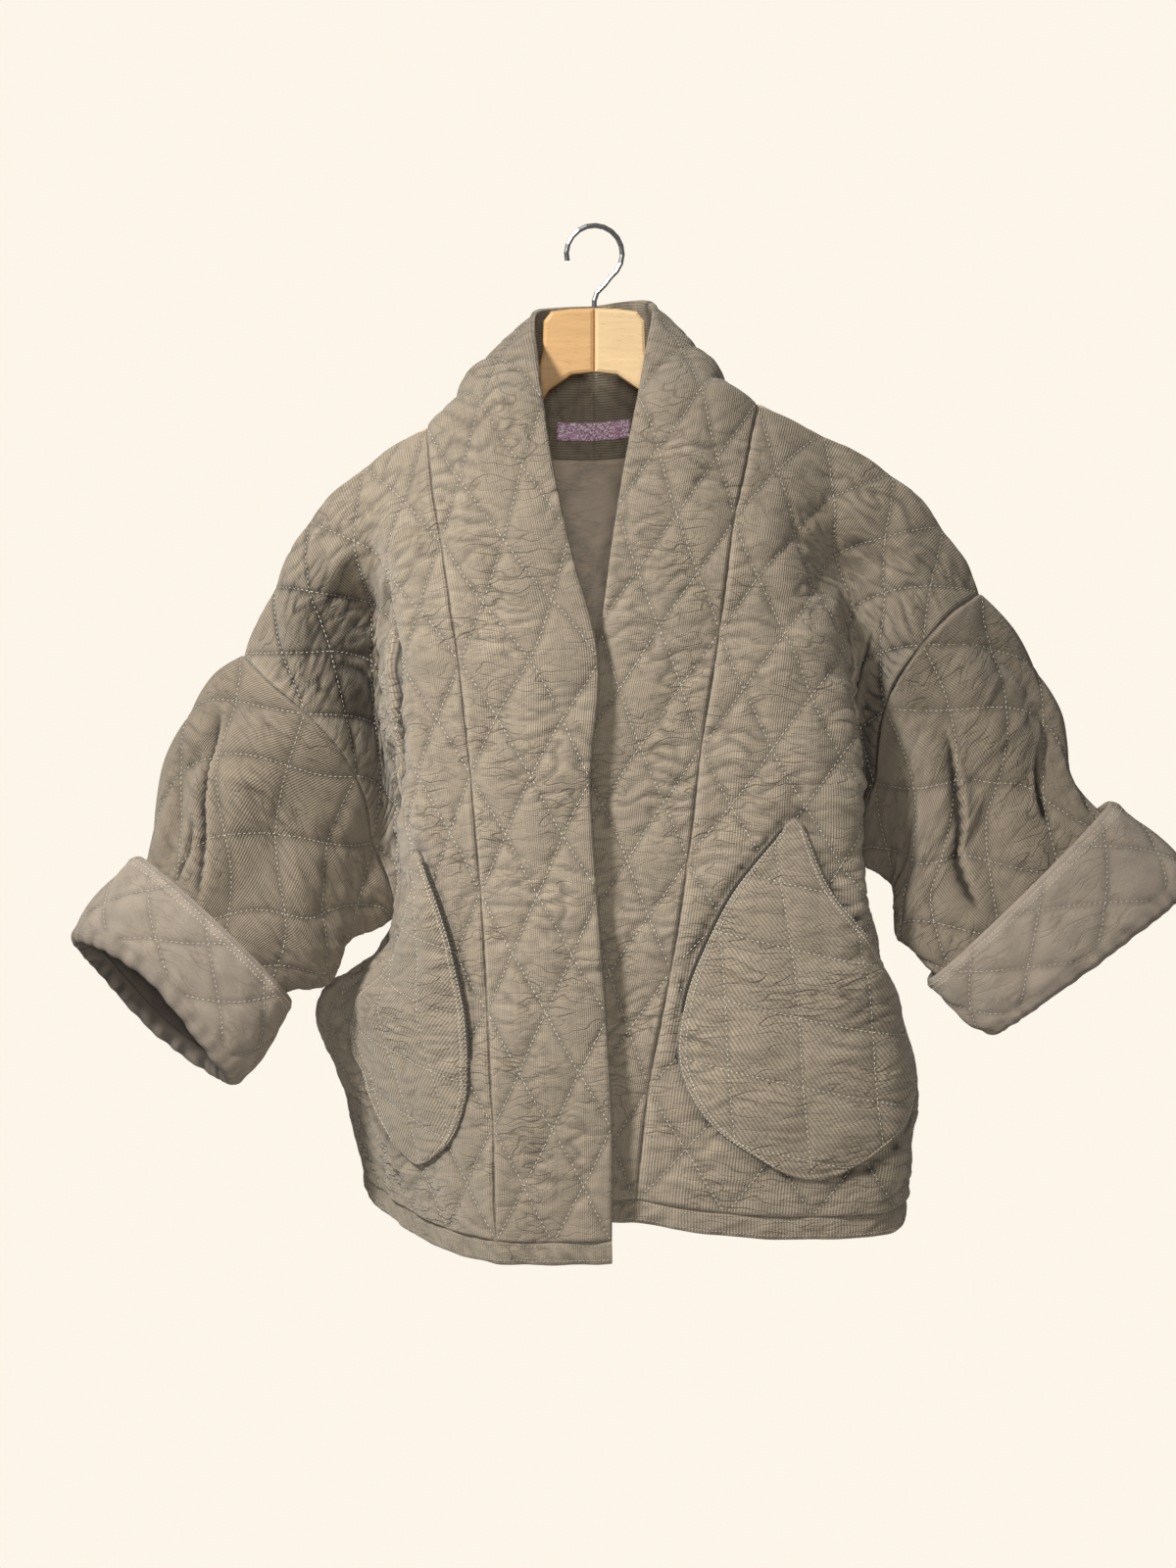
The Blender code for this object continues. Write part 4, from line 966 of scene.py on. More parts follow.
def lining(name="lining", shade=1.0):
    """The paler plain cotton of the inside, with a fine weave and slubs."""
    made, tree, shader = new_material(name, 0.85)
    place = add(tree, "ShaderNodeTexCoord")
    cloth = add(tree, "ShaderNodeUVMap", uv_map="cloth")
    split = add(tree, "ShaderNodeSeparateXYZ")
    tree.links.new(cloth.outputs[0], split.inputs[0])
    warp = maths(tree, "SINE", maths(tree, "MULTIPLY", split.outputs[0], 2 * math.pi / 0.0009))
    weft = maths(tree, "SINE", maths(tree, "MULTIPLY", split.outputs[1], 2 * math.pi / 0.0009))
    weave = maths(tree, "MULTIPLY", warp, weft)
    slub = mottle(tree, 900.0, 2.0, place.outputs["Object"])
    wash = mottle(tree, 26.0, 3.0, place.outputs["Object"])
    thin = tuple(shade * part for part in (0.345, 0.292, 0.236))
    thick = tuple(shade * part for part in (0.470, 0.402, 0.330))
    colour = ramp(tree, slub, thin, thick)
    washed = ramp(tree, wash, (0.82, 0.82, 0.82), (1.16, 1.15, 1.14))
    colour = blend_colours(tree, "MULTIPLY", 0.9, colour, washed)
    colour = blend_colours(tree, "MULTIPLY", 0.9, colour, worn_ridges_and_shade(tree))
    folds = creases(tree, cloth.outputs[0])
    # Painted shade in the creases' lines, beside their bump.
    folded = ramp(tree, folds, (0.80, 0.78, 0.75), (1.02, 1.02, 1.02))
    colour = blend_colours(tree, "MULTIPLY", 1.0, colour, folded)
    tree.links.new(colour, shader.inputs["Base Color"])
    bump = add(tree, "ShaderNodeBump")
    bump.inputs["Strength"].default_value = 0.6
    bump.inputs["Distance"].default_value = 0.0006
    height = maths(tree, "ADD", weave, maths(tree, "MULTIPLY", slub, 1.6))
    height = maths(tree, "ADD", height, maths(tree, "MULTIPLY", folds, 2.4))
    tree.links.new(height, bump.inputs["Height"])
    tree.links.new(bump.outputs[0], shader.inputs["Normal"])
    shader.inputs["Sheen Weight"].default_value = 0.15
    shader.inputs["Specular IOR Level"].default_value = 0.2
    return made


def thread(name, colour):
    """Twisted cotton thread."""
    made, tree, shader = new_material(name, 0.6)
    place = add(tree, "ShaderNodeTexCoord")
    twist = mottle(tree, 2500.0, 1.0, place.outputs["Object"])
    dark = tuple(0.8 * part for part in colour)
    tree.links.new(ramp(tree, twist, dark, colour), shader.inputs["Base Color"])
    shader.inputs["Sheen Weight"].default_value = 0.3
    return made


def label_cloth():
    """A lilac strip woven with a bright metallic thread."""
    made, tree, shader = new_material("label_weave", 0.5)
    place = add(tree, "ShaderNodeTexCoord")
    grains = add(tree, "ShaderNodeTexVoronoi")
    grains.inputs["Scale"].default_value = 1000.0
    tree.links.new(place.outputs["Object"], grains.inputs["Vector"])
    split = add(tree, "ShaderNodeSeparateColor")
    tree.links.new(grains.outputs["Color"], split.inputs[0])
    glint = maths(tree, "GREATER_THAN", split.outputs[0], 0.72)
    base = ramp(tree, split.outputs[1], (0.30, 0.13, 0.22), (0.80, 0.50, 0.68))
    colour = blend_colours(tree, "MIX", glint, base, (1.0, 0.90, 0.96))
    tree.links.new(colour, shader.inputs["Base Color"])
    tree.links.new(maths(tree, "MULTIPLY", glint, 0.3), shader.inputs["Metallic"])
    bump = add(tree, "ShaderNodeBump")
    bump.inputs["Strength"].default_value = 0.5
    bump.inputs["Distance"].default_value = 0.0004
    tree.links.new(split.outputs[2], bump.inputs["Height"])
    tree.links.new(bump.outputs[0], shader.inputs["Normal"])
    return made


def beech(name, tone):
    """Lacquered beech: long pale figure with short dark flecks along it."""
    made, tree, shader = new_material(name, 0.55)
    place = add(tree, "ShaderNodeTexCoord")
    along = add(tree, "ShaderNodeMapping")
    along.inputs["Scale"].default_value = (1.0, 6.0, 9.0)
    tree.links.new(place.outputs["Object"], along.inputs["Vector"])
    figure = mottle(tree, 30.0, 6.0, along.outputs[0])
    fleck_map = add(tree, "ShaderNodeMapping")
    fleck_map.inputs["Scale"].default_value = (60.0, 300.0, 500.0)
    tree.links.new(place.outputs["Object"], fleck_map.inputs["Vector"])
    fleck = mottle(tree, 2.0, 2.0, fleck_map.outputs[0])
    pale = tuple(1.12 * part for part in tone)
    dark = tuple(0.80 * part for part in tone)
    colour = ramp(tree, figure, dark, pale)
    sharp = maths(tree, "GREATER_THAN", fleck, 0.64)
    share = maths(tree, "MULTIPLY", sharp, 0.35)
    colour = blend_colours(tree, "MULTIPLY", share, colour, (0.62, 0.50, 0.38))
    tree.links.new(colour, shader.inputs["Base Color"])
    bump = add(tree, "ShaderNodeBump")
    bump.inputs["Strength"].default_value = 0.12
    bump.inputs["Distance"].default_value = 0.0004
    tree.links.new(figure, bump.inputs["Height"])
    tree.links.new(bump.outputs[0], shader.inputs["Normal"])
    shader.inputs["Specular IOR Level"].default_value = 0.3
    shader.inputs["Coat Weight"].default_value = 0.04
    shader.inputs["Coat Roughness"].default_value = 0.3
    return made


def steel():
    """Polished wire with fine drawing marks."""
    made, tree, shader = new_material("steel_wire", 0.25)
    place = add(tree, "ShaderNodeTexCoord")
    marks = mottle(tree, 400.0, 3.0, place.outputs["Object"])
    colour = ramp(tree, marks, (0.50, 0.50, 0.51), (0.68, 0.68, 0.69))
    tree.links.new(colour, shader.inputs["Base Color"])
    rough = maths(tree, "MULTIPLY_ADD", marks, 0.2, 0.16)
    tree.links.new(rough, shader.inputs["Roughness"])
    shader.inputs["Metallic"].default_value = 1.0
    return made


CORD = needlecord(rib=1.9)
# A copy of the needlecord painted darker, as shade on the sleeves.
SHADED_SLEEVE_CORD = needlecord("needlecord_painted_darker", (0.82, 0.81, 0.80), rib=1.9)
POCKET_CORD = needlecord("needlecord_bias", turn=38.0, rib=2.3)
LINING = lining()
# A copy of the lining painted dark, as shade inside the sleeves.
SHADED_SLEEVE_LINING = lining("lining_painted_shade_in_sleeve", 0.36)
# A copy of the lining painted paler, as light on the back's inside.
LIT_BACK_LINING = lining("lining_painted_light_of_back", 1.85)
THREAD = thread("thread", (0.70, 0.63, 0.51))
TONAL_THREAD = thread("tonal_thread", (0.42, 0.36, 0.29))
LABEL = label_cloth()
print("materials:", len(bpy.data.materials))

# %% The cuff's mouth
MOUTH_PULL = 14.0


def mouth_pull(u, distance):
    """How far the front of the right sleeve's end is pushed up the sleeve, to open it."""
    window = np.exp(-(((u - 6.5) / 4.2) ** 2)) - 0.55 * np.exp(-(((u - 23.0) / 4.0) ** 2))
    reach = MOUTH_PULL * window * smoothstep(1 - distance / 60)
    return reach[..., None] * cuff_axis(RIGHT_SLEEVE)


print("mouth pushed back", MOUTH_PULL, "mm")

# %% [markdown]
# The body panels. Each takes its middle surface from the pattern, is crumpled a little,
# most where the photograph shows deep creases, and then gets its padding on the outside.
# A crumple fades out at every seam, so neighbours still meet.

# %% Body panels
# Columns: fine cells to a coarse cell across and down, which sides are seams (left, right,
# top, bottom), pucker level, crumple level, seed.
PANELS = {
    "right_front": ((5, 9), (True, True, True, True), 1.05, 0.8, 11),
    "left_front": ((5, 9), (True, True, True, True), 1.05, 0.8, 23),
    "back": ((3, 6), (True, True, True, True), 0.8, 0.8, 37),
    "right_band": ((5, 9), (True, False, True, True), 1.1, 0.3, 41),
    "left_band": ((5, 9), (True, False, True, True), 1.1, 0.3, 53),
    "right_sleeve": ((5, 8), (False, False, True, False), 0.6, 0.55, 67),
    "left_sleeve": ((5, 8), (False, False, True, False), 0.6, 0.55, 79),
}
# Places on a panel where the cloth is crushed. Columns: column, row, reach across and
# down in cells, and how much deeper the creases get.
CRUSHED = {
    "right_front": ((9.0, 12.0, 3.2, 6.5, 2.4), (7.5, 5.5, 3.0, 3.0, 0.5)),
    "left_front": ((11.0, 11.0, 3.0, 6.0, 1.6), (10.5, 3.5, 3.5, 3.0, 0.3)),
    "back": ((6.0, 12.0, 4.0, 6.0, 1.4), (42.0, 12.0, 4.0, 6.0, 1.4)),
    "right_sleeve": ((3.0, 4.0, 3.5, 3.0, 1.2), (13.0, 3.5, 3.0, 3.0, 1.4)),
    "left_sleeve": ((13.0, 3.0, 3.0, 3.0, 1.3), (3.0, 3.5, 3.0, 3.0, 0.8)),
}
# Hollows that little light reaches, painted darker as shade. Columns as above, then how
# much darker.
PAINTED_SHADE_HOLLOWS = {
    "right_front": ((11.5, 10.5, 3.6, 5.5, 0.55), (11.5, 4.0, 4.5, 4.5, 0.50)),
    "left_front": ((15.4, 12.0, 1.9, 6.5, 0.80), (11.0, 4.0, 4.5, 3.6, 0.14)),
}
# Tucks, where the cloth folds sharply over itself. Columns: the line as (column, row),
# how high the lip stands, how deep the slit beside it is, the side of the lip, and how
# wide the lip and the slit are, in millimetres.
TUCKS = {
    "right_sleeve": (
        (((1.5, 2.4), (3.4, 3.9), (4.6, 5.6), (5.6, 7.2), (6.6, 9.0)), 4.5, 6.0, -1, 13, 9),
        (((4.3, 6.4), (4.6, 7.4), (4.5, 8.6)), 2.5, 5.0, -1, 8, 6),
    ),
    "left_sleeve": (
        (((6.6, 1.8), (7.6, 3.4), (8.4, 5.6), (9.3, 8.0), (9.9, 9.4)), 3.5, 6.5, 1, 14, 11),
        (((3.6, 6.2), (4.2, 7.4), (4.9, 8.8)), 3.5, 5.5, -1, 9, 7),
    ),
    "right_front": (
        (((5.9, 4.2), (5.3, 6.6), (5.4, 9.0), (6.6, 11.6), (7.6, 13.6)), 1.2, 6.5, -1, 12, 16),
        (((8.2, 5.4), (8.8, 7.2), (8.2, 9.2)), 2.0, 4.0, 1, 7, 6),
        (((10.5, 6.0), (11.2, 8.2), (12.4, 10.4)), 2.0, 4.0, -1, 7, 6),
        (((12.5, 4.2), (11.2, 5.6), (10.4, 7.4)), 1.5, 3.5, 1, 7, 6),
    ),
    "left_front": (
        (((10.6, 5.6), (10.0, 8.4), (10.8, 11.4), (11.2, 14.2), (11.0, 16.6)), 3.0, 10.0, -1, 10, 10),
        (((12.6, 5.2), (13.0, 7.6), (12.6, 9.6)), 2.0, 4.0, 1, 8, 6),
    ),
    "back": (
        (((5.5, 6.0), (6.2, 9.0), (5.6, 12.0)), 2.0, 3.5, 1, 12, 9),
        (((42.5, 6.5), (41.6, 9.4), (42.4, 12.6)), 2.0, 3.5, -1, 12, 9),
    ),
}


LIP_TURN = 2.6
FOLD_SHADE = 0.11


def tuck(x, y, line, lip, slit, side, lip_reach, slit_reach):
    """A fold over itself along a line: a raised lip and a slit that its edge shades."""
    best = np.full_like(x, 1e9)
    signed, share = np.zeros_like(x), np.zeros_like(x)
    line = np.array(line, float)
    for k, (a, b) in enumerate(zip(line, line[1:])):
        way = b - a
        t = np.clip(((x - a[0]) * way[0] + (y - a[1]) * way[1]) / (way @ way), 0, 1)
        off = np.hypot(x - a[0] - t * way[0], y - a[1] - t * way[1])
        nearer = off < best
        turn = np.sign(way[0] * (y - a[1]) - way[1] * (x - a[0]))
        best = np.where(nearer, off, best)
        signed = np.where(nearer, off * turn * side, signed)
        share = np.where(nearer, (k + t) / (len(line) - 1), share)
    ends = smoothstep(share / 0.3) * smoothstep((1 - share) / 0.3)
    raised = lip * np.exp(-np.maximum(signed, 0) / lip_reach)
    sunk = slit * np.exp(-((np.minimum(signed, 0) / slit_reach) ** 2))
    over = smoothstep((signed + LIP_TURN) / (2 * LIP_TURN))
    return ends * (raised * over - sunk * (1 - over))


def panel_surface(name):
    """The fine middle surface, outside and inside of a panel, and its map."""
    grid, sign, around = coarse[name]
    fine, seams, pucker, crumple, seed = PANELS[name]
    rows, columns = grid.shape[0] - 1, grid.shape[1] - (0 if around else 1)
    at_rows = stations(rows, fine[1])
    at_columns = stations(columns, fine[0], (False, False) if around else (True, True))
    if around:
        at_columns = at_columns[:-1]
    middle = spread(grid, at_rows, at_columns, around)
    facing = unit(spread(normals[name], at_rows, at_columns, around))
    v, u = np.meshgrid(at_rows, at_columns, indexing="ij")
    x, y = u * CELL_ACROSS, v * CELL_DOWN
    if around:
        x = x * 1.2
        closing = smoothstep(np.minimum(u, columns - u) / 1.5)
    else:
        closing = np.ones_like(u)
    left, right = side_distance(u, columns, CELL_ACROSS)
    top, bottom = side_distance(v, rows, CELL_DOWN)
    distances = [d for d, seam in zip((left, right, top, bottom), seams) if seam]
    free = [d for d, seam in zip((left, right, top, bottom), seams) if not seam]
    if around:
        free = []
        distances = [top, bottom]
    to_seam = np.minimum.reduce(distances)
    settle = smoothstep(to_seam / 26) * closing
    crush = np.ones_like(u)
    for column, row, wide, tall, more in CRUSHED.get(name, ()):
        off = ((u - column) / wide) ** 2 + ((v - row) / tall) ** 2
        if around:
            off = np.minimum(off, ((u - columns - column) / wide) ** 2 + ((v - row) / tall) ** 2)
        crush += more * np.exp(-off)
    shift = np.clip(crumple * crush * settle * (crumples(x, y, seed) - 0.8), -4.5, 4.0)
    wide = CELL_ACROSS * (1.2 if around else 1)
    folded = np.zeros_like(u)
    for line, *shape in TUCKS.get(name, ()):
        along = [(c * wide, r * CELL_DOWN) for c, r in line]
        folded += tuck(x, y, along, *shape) * smoothstep(to_seam / 12)
    shift = shift + folded
    middle = middle + facing * shift[..., None]
    if name == "right_sleeve":
        middle = middle - mouth_pull(u, (rows - v) * 24.0)
    quilted = puffs((u + v) / 4 + waver(x, y, seed), (u - v) / 4 + waver(x, y, seed + 1))
    plump = PUFF * (1 + 0.3 * noise(x / 85, y / 95, seed + 8))
    small = puckers(x, y, seed + 20, pucker) * closing
    ease = smoothstep(to_seam / 3.5)
    high = STITCHED + 0.5 + (plump * quilted + small * (0.8 + 0.3 * quilted)) * (0.4 + 0.6 * ease)
    outer = np.maximum(high * groove(to_seam, 0.5 + 0.3 * noise(x / 9, y / 9, seed + 30)), 0.3)
    inner = np.full_like(outer, INSIDE) + 1.2 * quilted * ease
    # The colour mask: a paler nap where the cloth stands up, and painted shade in the hollows and the
    # tucks' slits.
    relief = high_and_low(outer + shift * 0.5, around) + FOLD_SHADE * np.minimum(folded, 0)
    # Painted shade in the hollows beside the sleeves and under the shoulders.
    for column, row, wide, tall, shade_depth in PAINTED_SHADE_HOLLOWS.get(name, ()):
        relief = relief - shade_depth * np.exp(-(((u - column) / wide) ** 2 + ((v - row) / tall) ** 2))
    if free:
        near = np.minimum.reduce(free)
        outer = outer * rounding(near, 4.0)
        inner = inner * rounding(near, 4.0)
    return {
        "middle": middle, "facing": facing, "outer": outer, "inner": inner, "u": u, "v": v,
        "around": around, "sign": sign, "uv": np.stack([x, y], axis=-1), "rows": at_rows,
        "columns": at_columns, "to_seam": to_seam, "relief": relief, "seed": seed,
    }


def build_panel(name, surface, finishes):
    outside = surface["middle"] + surface["facing"] * surface["outer"][..., None]
    inside = surface["middle"] - surface["facing"] * surface["inner"][..., None]
    surface["outside"], surface["inside"] = outside, inside
    return wall_of_cloth(name + "_cloth", outside, inside, surface["uv"], surface["around"], finishes,
                         surface["relief"])


surfaces = {name: panel_surface(name) for name in PANELS}
print("fine points:", sum(s["u"].size for s in surfaces.values()))

# %% [markdown]
# The pockets are patches, so each is laid out in the columns and rows of its front and
# stands off it by the padding. The front's puffs are pressed flat beneath it. Their own
# quilting is turned, because the pocket is cut on the bias.

# %% Pockets
POCKET_LIFT = 4.4
POCKET_CELL = 46.0
POCKET_SHADE = 0.45
POCKETS = {
    "right_pocket": ("right_front", RIGHT_POCKET, 0.20, 0.22, 5),
    "left_pocket": ("left_front", LEFT_POCKET, 0.20, 0.22, 9),
}


def sample(surface, key, columns, rows):
    """Values of a fine grid at any columns and rows."""
    values = surface[key]
    c = np.interp(columns, surface["columns"], np.arange(len(surface["columns"])))
    r = np.interp(rows, surface["rows"], np.arange(len(surface["rows"])))
    c0 = np.clip(c.astype(int), 0, values.shape[1] - 2)
    r0 = np.clip(r.astype(int), 0, values.shape[0] - 2)
    s, t = c - c0, r - r0
    if values.ndim == 3:
        s, t = s[..., None], t[..., None]
    return (values[r0, c0] * (1 - s) * (1 - t) + values[r0, c0 + 1] * s * (1 - t)
            + values[r0 + 1, c0] * (1 - s) * t + values[r0 + 1, c0 + 1] * s * t)


def pocket_places(table, across, down):
    """Columns and rows on the front, for shares across and down a pocket."""
    pairs = np.array(table, float)
    at = smooth_between(np.arange(len(pairs)), pairs, np.asarray(down) * (len(pairs) - 1))
    share = np.asarray(across)[None, :, None]
    line = at[:, None, 0] * (1 - share) + at[:, None, 1] * share
    sag = 0.55 * np.asarray(down) ** 3 - 0.25 * (1 - np.asarray(down)) ** 3
    line[..., 1] += sag[:, None] * np.sin(math.pi * np.asarray(across))[None]
    return line[..., 0], line[..., 1]


def edge_shares(count, reach=(0.004, 0.012, 0.025, 0.045)):
    inner = list(np.linspace(0, 1, count + 1))
    return np.array(sorted(set(inner + list(reach) + [1 - r for r in reach])))


def press_beds():
    """Flattens each front's padding beneath its pocket and paints a shadow ring around it."""
    for front, table, *_ in POCKETS.values():
        surface = surfaces[front]
        for down in np.linspace(0, 1, 60):
            ends, row = pocket_places(table, [0.0, 1.0], [down])
            band = np.exp(-((surface["v"] - row.mean()) / 0.35) ** 2)
            inside = smoothstep((surface["u"] - ends[0, 0] + 0.5) / 0.5)
            inside = inside * smoothstep((ends[0, 1] + 0.5 - surface["u"]) / 0.5)
            pressed = np.maximum(surface.setdefault("pressed", np.zeros_like(band)), band * inside)
            surface["pressed"] = pressed
    for front in ("right_front", "left_front"):
        surface = surfaces[front]
        low = np.minimum(surface["outer"], 2.0)
        pressed = surface["pressed"]
        surface["outer"] = surface["outer"] * (1 - pressed) + low * pressed
        # A painted shadow ring just outside each pocket's edge.
        surface["relief"] = surface["relief"] - POCKET_SHADE * 4 * pressed * (1 - pressed)


def pocket_surface(front, table, lean, fall, seed):
    across, down = edge_shares(90), edge_shares(112)
    columns, rows = pocket_places(table, across, down)
    surface = surfaces[front]
    bed = sample(surface, "middle", columns, rows)
    facing = unit(sample(surface, "facing", columns, rows))
    x, y = columns * CELL_ACROSS, rows * CELL_DOWN
    mirror = 1 if front == "left_front" else -1
    quilted = puffs((mirror * x - lean * y) / POCKET_CELL, (y - fall * mirror * x) / POCKET_CELL)
    wide = np.abs(columns[:, -1] - columns[:, 0])[:, None] * CELL_ACROSS
    tall = (rows.max(axis=0) - rows.min(axis=0))[None] * CELL_DOWN
    from_side = np.minimum(across, 1 - across)[None] * wide
    from_end = np.minimum(down, 1 - down)[:, None] * tall
    edge = np.minimum(from_side, from_end)
    settle = smoothstep(edge / 12)
    small = puckers(x, y, seed, 0.9)
    outer = 1.8 + (2.8 * quilted + small * (0.5 + 0.5 * quilted)) * (0.15 + 0.85 * settle)
    ridge = 0.9 * np.exp(-((edge - 3.6) / 1.8) ** 2)
    outer = (outer + ridge) * rounding(edge, 2.6)
    inner = np.full_like(outer, 0.9) * rounding(edge, 2.6)
    middle = bed + facing * POCKET_LIFT
    return {
        "middle": middle, "facing": facing, "outer": outer, "inner": inner, "around": False,
        "sign": surface["sign"], "uv": np.stack([x, y], axis=-1), "columns": across, "rows": down,
        "edge": edge, "u": columns, "v": rows,
        # A painted shadow line along the pocket's edge.
        "relief": high_and_low(outer, False) - 0.5 * np.exp(-((edge / 2.4) ** 2)),
    }


press_beds()
for name, (front, table, lean, fall, seed) in POCKETS.items():
    surfaces[name] = pocket_surface(front, table, lean, fall, seed)
print("pockets stand", POCKET_LIFT, "mm off the fronts' middle")

# %% [markdown]
# The hems are narrow bands that are gathered a little by their stitching, so their
# ripples run up and down. Their lower edge is a fold.

# %% Hems
def hem_surface(name, seed):
    grid, sign, _ = coarse[name]
    count = grid.shape[1] - 1
    at_rows = stations(2, 6)
    at_columns = stations(count, 6)
    middle = spread(grid, at_rows, at_columns)
    facing = unit(spread(normals[name], at_rows, at_columns))
    v, u = np.meshgrid(at_rows, at_columns, indexing="ij")
    x, y = u * CELL_ACROSS, v * HEM_HEIGHT / 2
    ends = np.minimum(*side_distance(u, count, CELL_ACROSS))
    top, bottom = side_distance(v, 2, HEM_HEIGHT / 2)
    ripple = 1.2 * noise((x + 0.8 * y) / 11, y / 15, seed) + 1.0 * noise((x - y) / 25, y / 30, seed + 1)
    ripple = ripple * smoothstep(top / 4) * smoothstep(ends / 6)
    plump = 1.5 * np.sin(math.pi * np.clip(v / 2, 0, 1)) ** 0.6
    outer = (STITCHED + plump + ripple) * groove(top) * rounding(bottom, 3.0)
    inner = np.full_like(outer, INSIDE) * rounding(bottom, 3.0)
    if name == "back_hem":
        outer = outer * groove(ends)
    return {
        "middle": middle, "facing": facing, "outer": outer, "inner": inner, "around": False,
        "sign": sign, "uv": np.stack([x, y], axis=-1), "columns": at_columns, "rows": at_rows,
        "u": u, "v": v, "relief": high_and_low(outer, False),
    }


for name, seed in (("right_hem", 101), ("left_hem", 107), ("back_hem", 113)):
    surfaces[name] = hem_surface(name, seed)
print("hem band", HEM_HEIGHT, "mm")

# %% [markdown]
# The cuffs are the ends of the sleeves, turned out and pushed up, so they show the paler
# inside. They start just within the opening, roll over it and lie back on the sleeve.

# %% Cuffs
def cuff_surface(table, outward, seed):
    grid = cuff_grid(table)
    rows = len(grid) - 1
    facing_coarse = shared_normals({"cuff": (grid, outward, True)})["cuff"]
    at_rows = stations(rows, 7)
    at_columns = stations(SLEEVE_RING, 5, (False, False))[:-1]
    middle = spread(grid, at_rows, at_columns, True)
    facing = unit(spread(facing_coarse, at_rows, at_columns, True))
    v, u = np.meshgrid(at_rows, at_columns, indexing="ij")
    x, y = u * 17.0, v * 15.0
    if table is RIGHT_SLEEVE:
        distance = np.interp(v, np.arange(rows + 1), [row[0] for row in CUFF_SECTION])
        middle = middle - mouth_pull(u, distance)
    closing = smoothstep(np.minimum(u, SLEEVE_RING - u) / 1.5)
    shown = smoothstep((v - 3.2) / 1.2)
    quilted = puffs((u + 1.15 * v) / 4, (u - 1.15 * v) / 4)
    last = (rows - v) * 15.0
    wrinkles = 1.4 * noise((x + y) / 34, (x - 2 * y) / 60, seed) + 0.4 * noise(x / 15, y / 11, seed + 1)
    rolled = 1.3 * noise(x / 11, y / 40, seed + 2) * smoothstep(v / 1.5) * (1 - shown)
    outer = 1.9 + closing * rolled + shown * (3.2 * quilted + closing * wrinkles) * smoothstep(last / 9)
    ridge = 0.8 * np.exp(-((last - 5.0) / 2.4) ** 2)
    outer = (outer + ridge) * rounding(last, 3.0)
    inner = np.full_like(outer, 2.0) * rounding(last, 3.0)
    # Painted shade inside the cuff's mouth.
    mouth_shade = 0.5 * (1 - smoothstep((v - 1.4) / 1.6))
    return {
        "middle": middle, "facing": facing, "outer": outer, "inner": inner, "around": True,
        "sign": outward, "uv": np.stack([x, y], axis=-1), "columns": at_columns, "rows": at_rows,
        "u": u, "v": v, "relief": high_and_low(outer, True) - mouth_shade,
    }


surfaces["right_cuff"] = cuff_surface(RIGHT_SLEEVE, OUTWARD, 131)
surfaces["left_cuff"] = cuff_surface(LEFT_SLEEVE, INWARD, 139)
print("cuffs:", CUFF_SECTION[-1][0], "mm deep")

# %% Build the cloth
FINISHES = {
    "right_pocket": (POCKET_CORD, POCKET_CORD), "left_pocket": (POCKET_CORD, POCKET_CORD),
    "right_cuff": (LINING, CORD), "left_cuff": (LINING, CORD),
    "right_band": (CORD, CORD), "left_band": (CORD, CORD),
    "right_sleeve": (SHADED_SLEEVE_CORD, SHADED_SLEEVE_LINING), "left_sleeve": (SHADED_SLEEVE_CORD, SHADED_SLEEVE_LINING),
    "back": (CORD, LIT_BACK_LINING),
}
pieces = {}
for name, surface in surfaces.items():
    pieces[name] = build_panel(name, surface, FINISHES.get(name, (CORD, LINING)))
print("cloth faces:", sum(len(p.data.polygons) for p in pieces.values()))

# %% [markdown]
# The label is a bare strip. It lies on the inside of the collar, across the centre back,
# and bulges a little between the two ends that are sewn down.

# %% The label
LABEL_REACH = 1.40
LABEL_COLUMNS = (1.04, 2.0)


def build_label():
    """A thin strip over the inside of both bands."""
    down = np.linspace(*LABEL_COLUMNS, 9)
    halves = []
    for name, reaches in (("right_band", np.linspace(LABEL_REACH, 0, 12)),
                          ("left_band", np.linspace(0, LABEL_REACH, 12)[1:])):
        rows, columns = np.meshgrid(reaches, down)
        surface = surfaces[name]
        inside = sample(surface, "inside", columns, rows)
        halves.append((inside, unit(sample(surface, "facing", columns, rows))))
    middle = np.concatenate([half[0] for half in halves], axis=1)
    facing = unit(np.concatenate([half[1] for half in halves], axis=1))
    share = np.linspace(-1, 1, middle.shape[1])[None, :]
    bulge = 0.7 + 1.0 * (1 - share**2) + 0.25 * noise(share * 6 + down[:, None], down[:, None] * 5, 7)
    outer = middle - facing * (bulge + 0.35)[..., None]
    inner = middle - facing * (bulge - 0.15)[..., None]
    y, x = np.meshgrid(down * CELL_ACROSS, share[0] * 30, indexing="ij")
    return wall_of_cloth("label_strip", outer, inner, np.stack([x, y], axis=-1), False, (LABEL, LABEL))


pieces["label"] = build_label()
print("label:", len(pieces["label"].data.polygons), "faces")

# %% [markdown]
# The pocket's opening is bound over a cord. The cord is a swept tube that follows the
# inner upper edge of the pocket, a little proud of it.

# %% Corded edges
CORD_RADIUS = 1.9


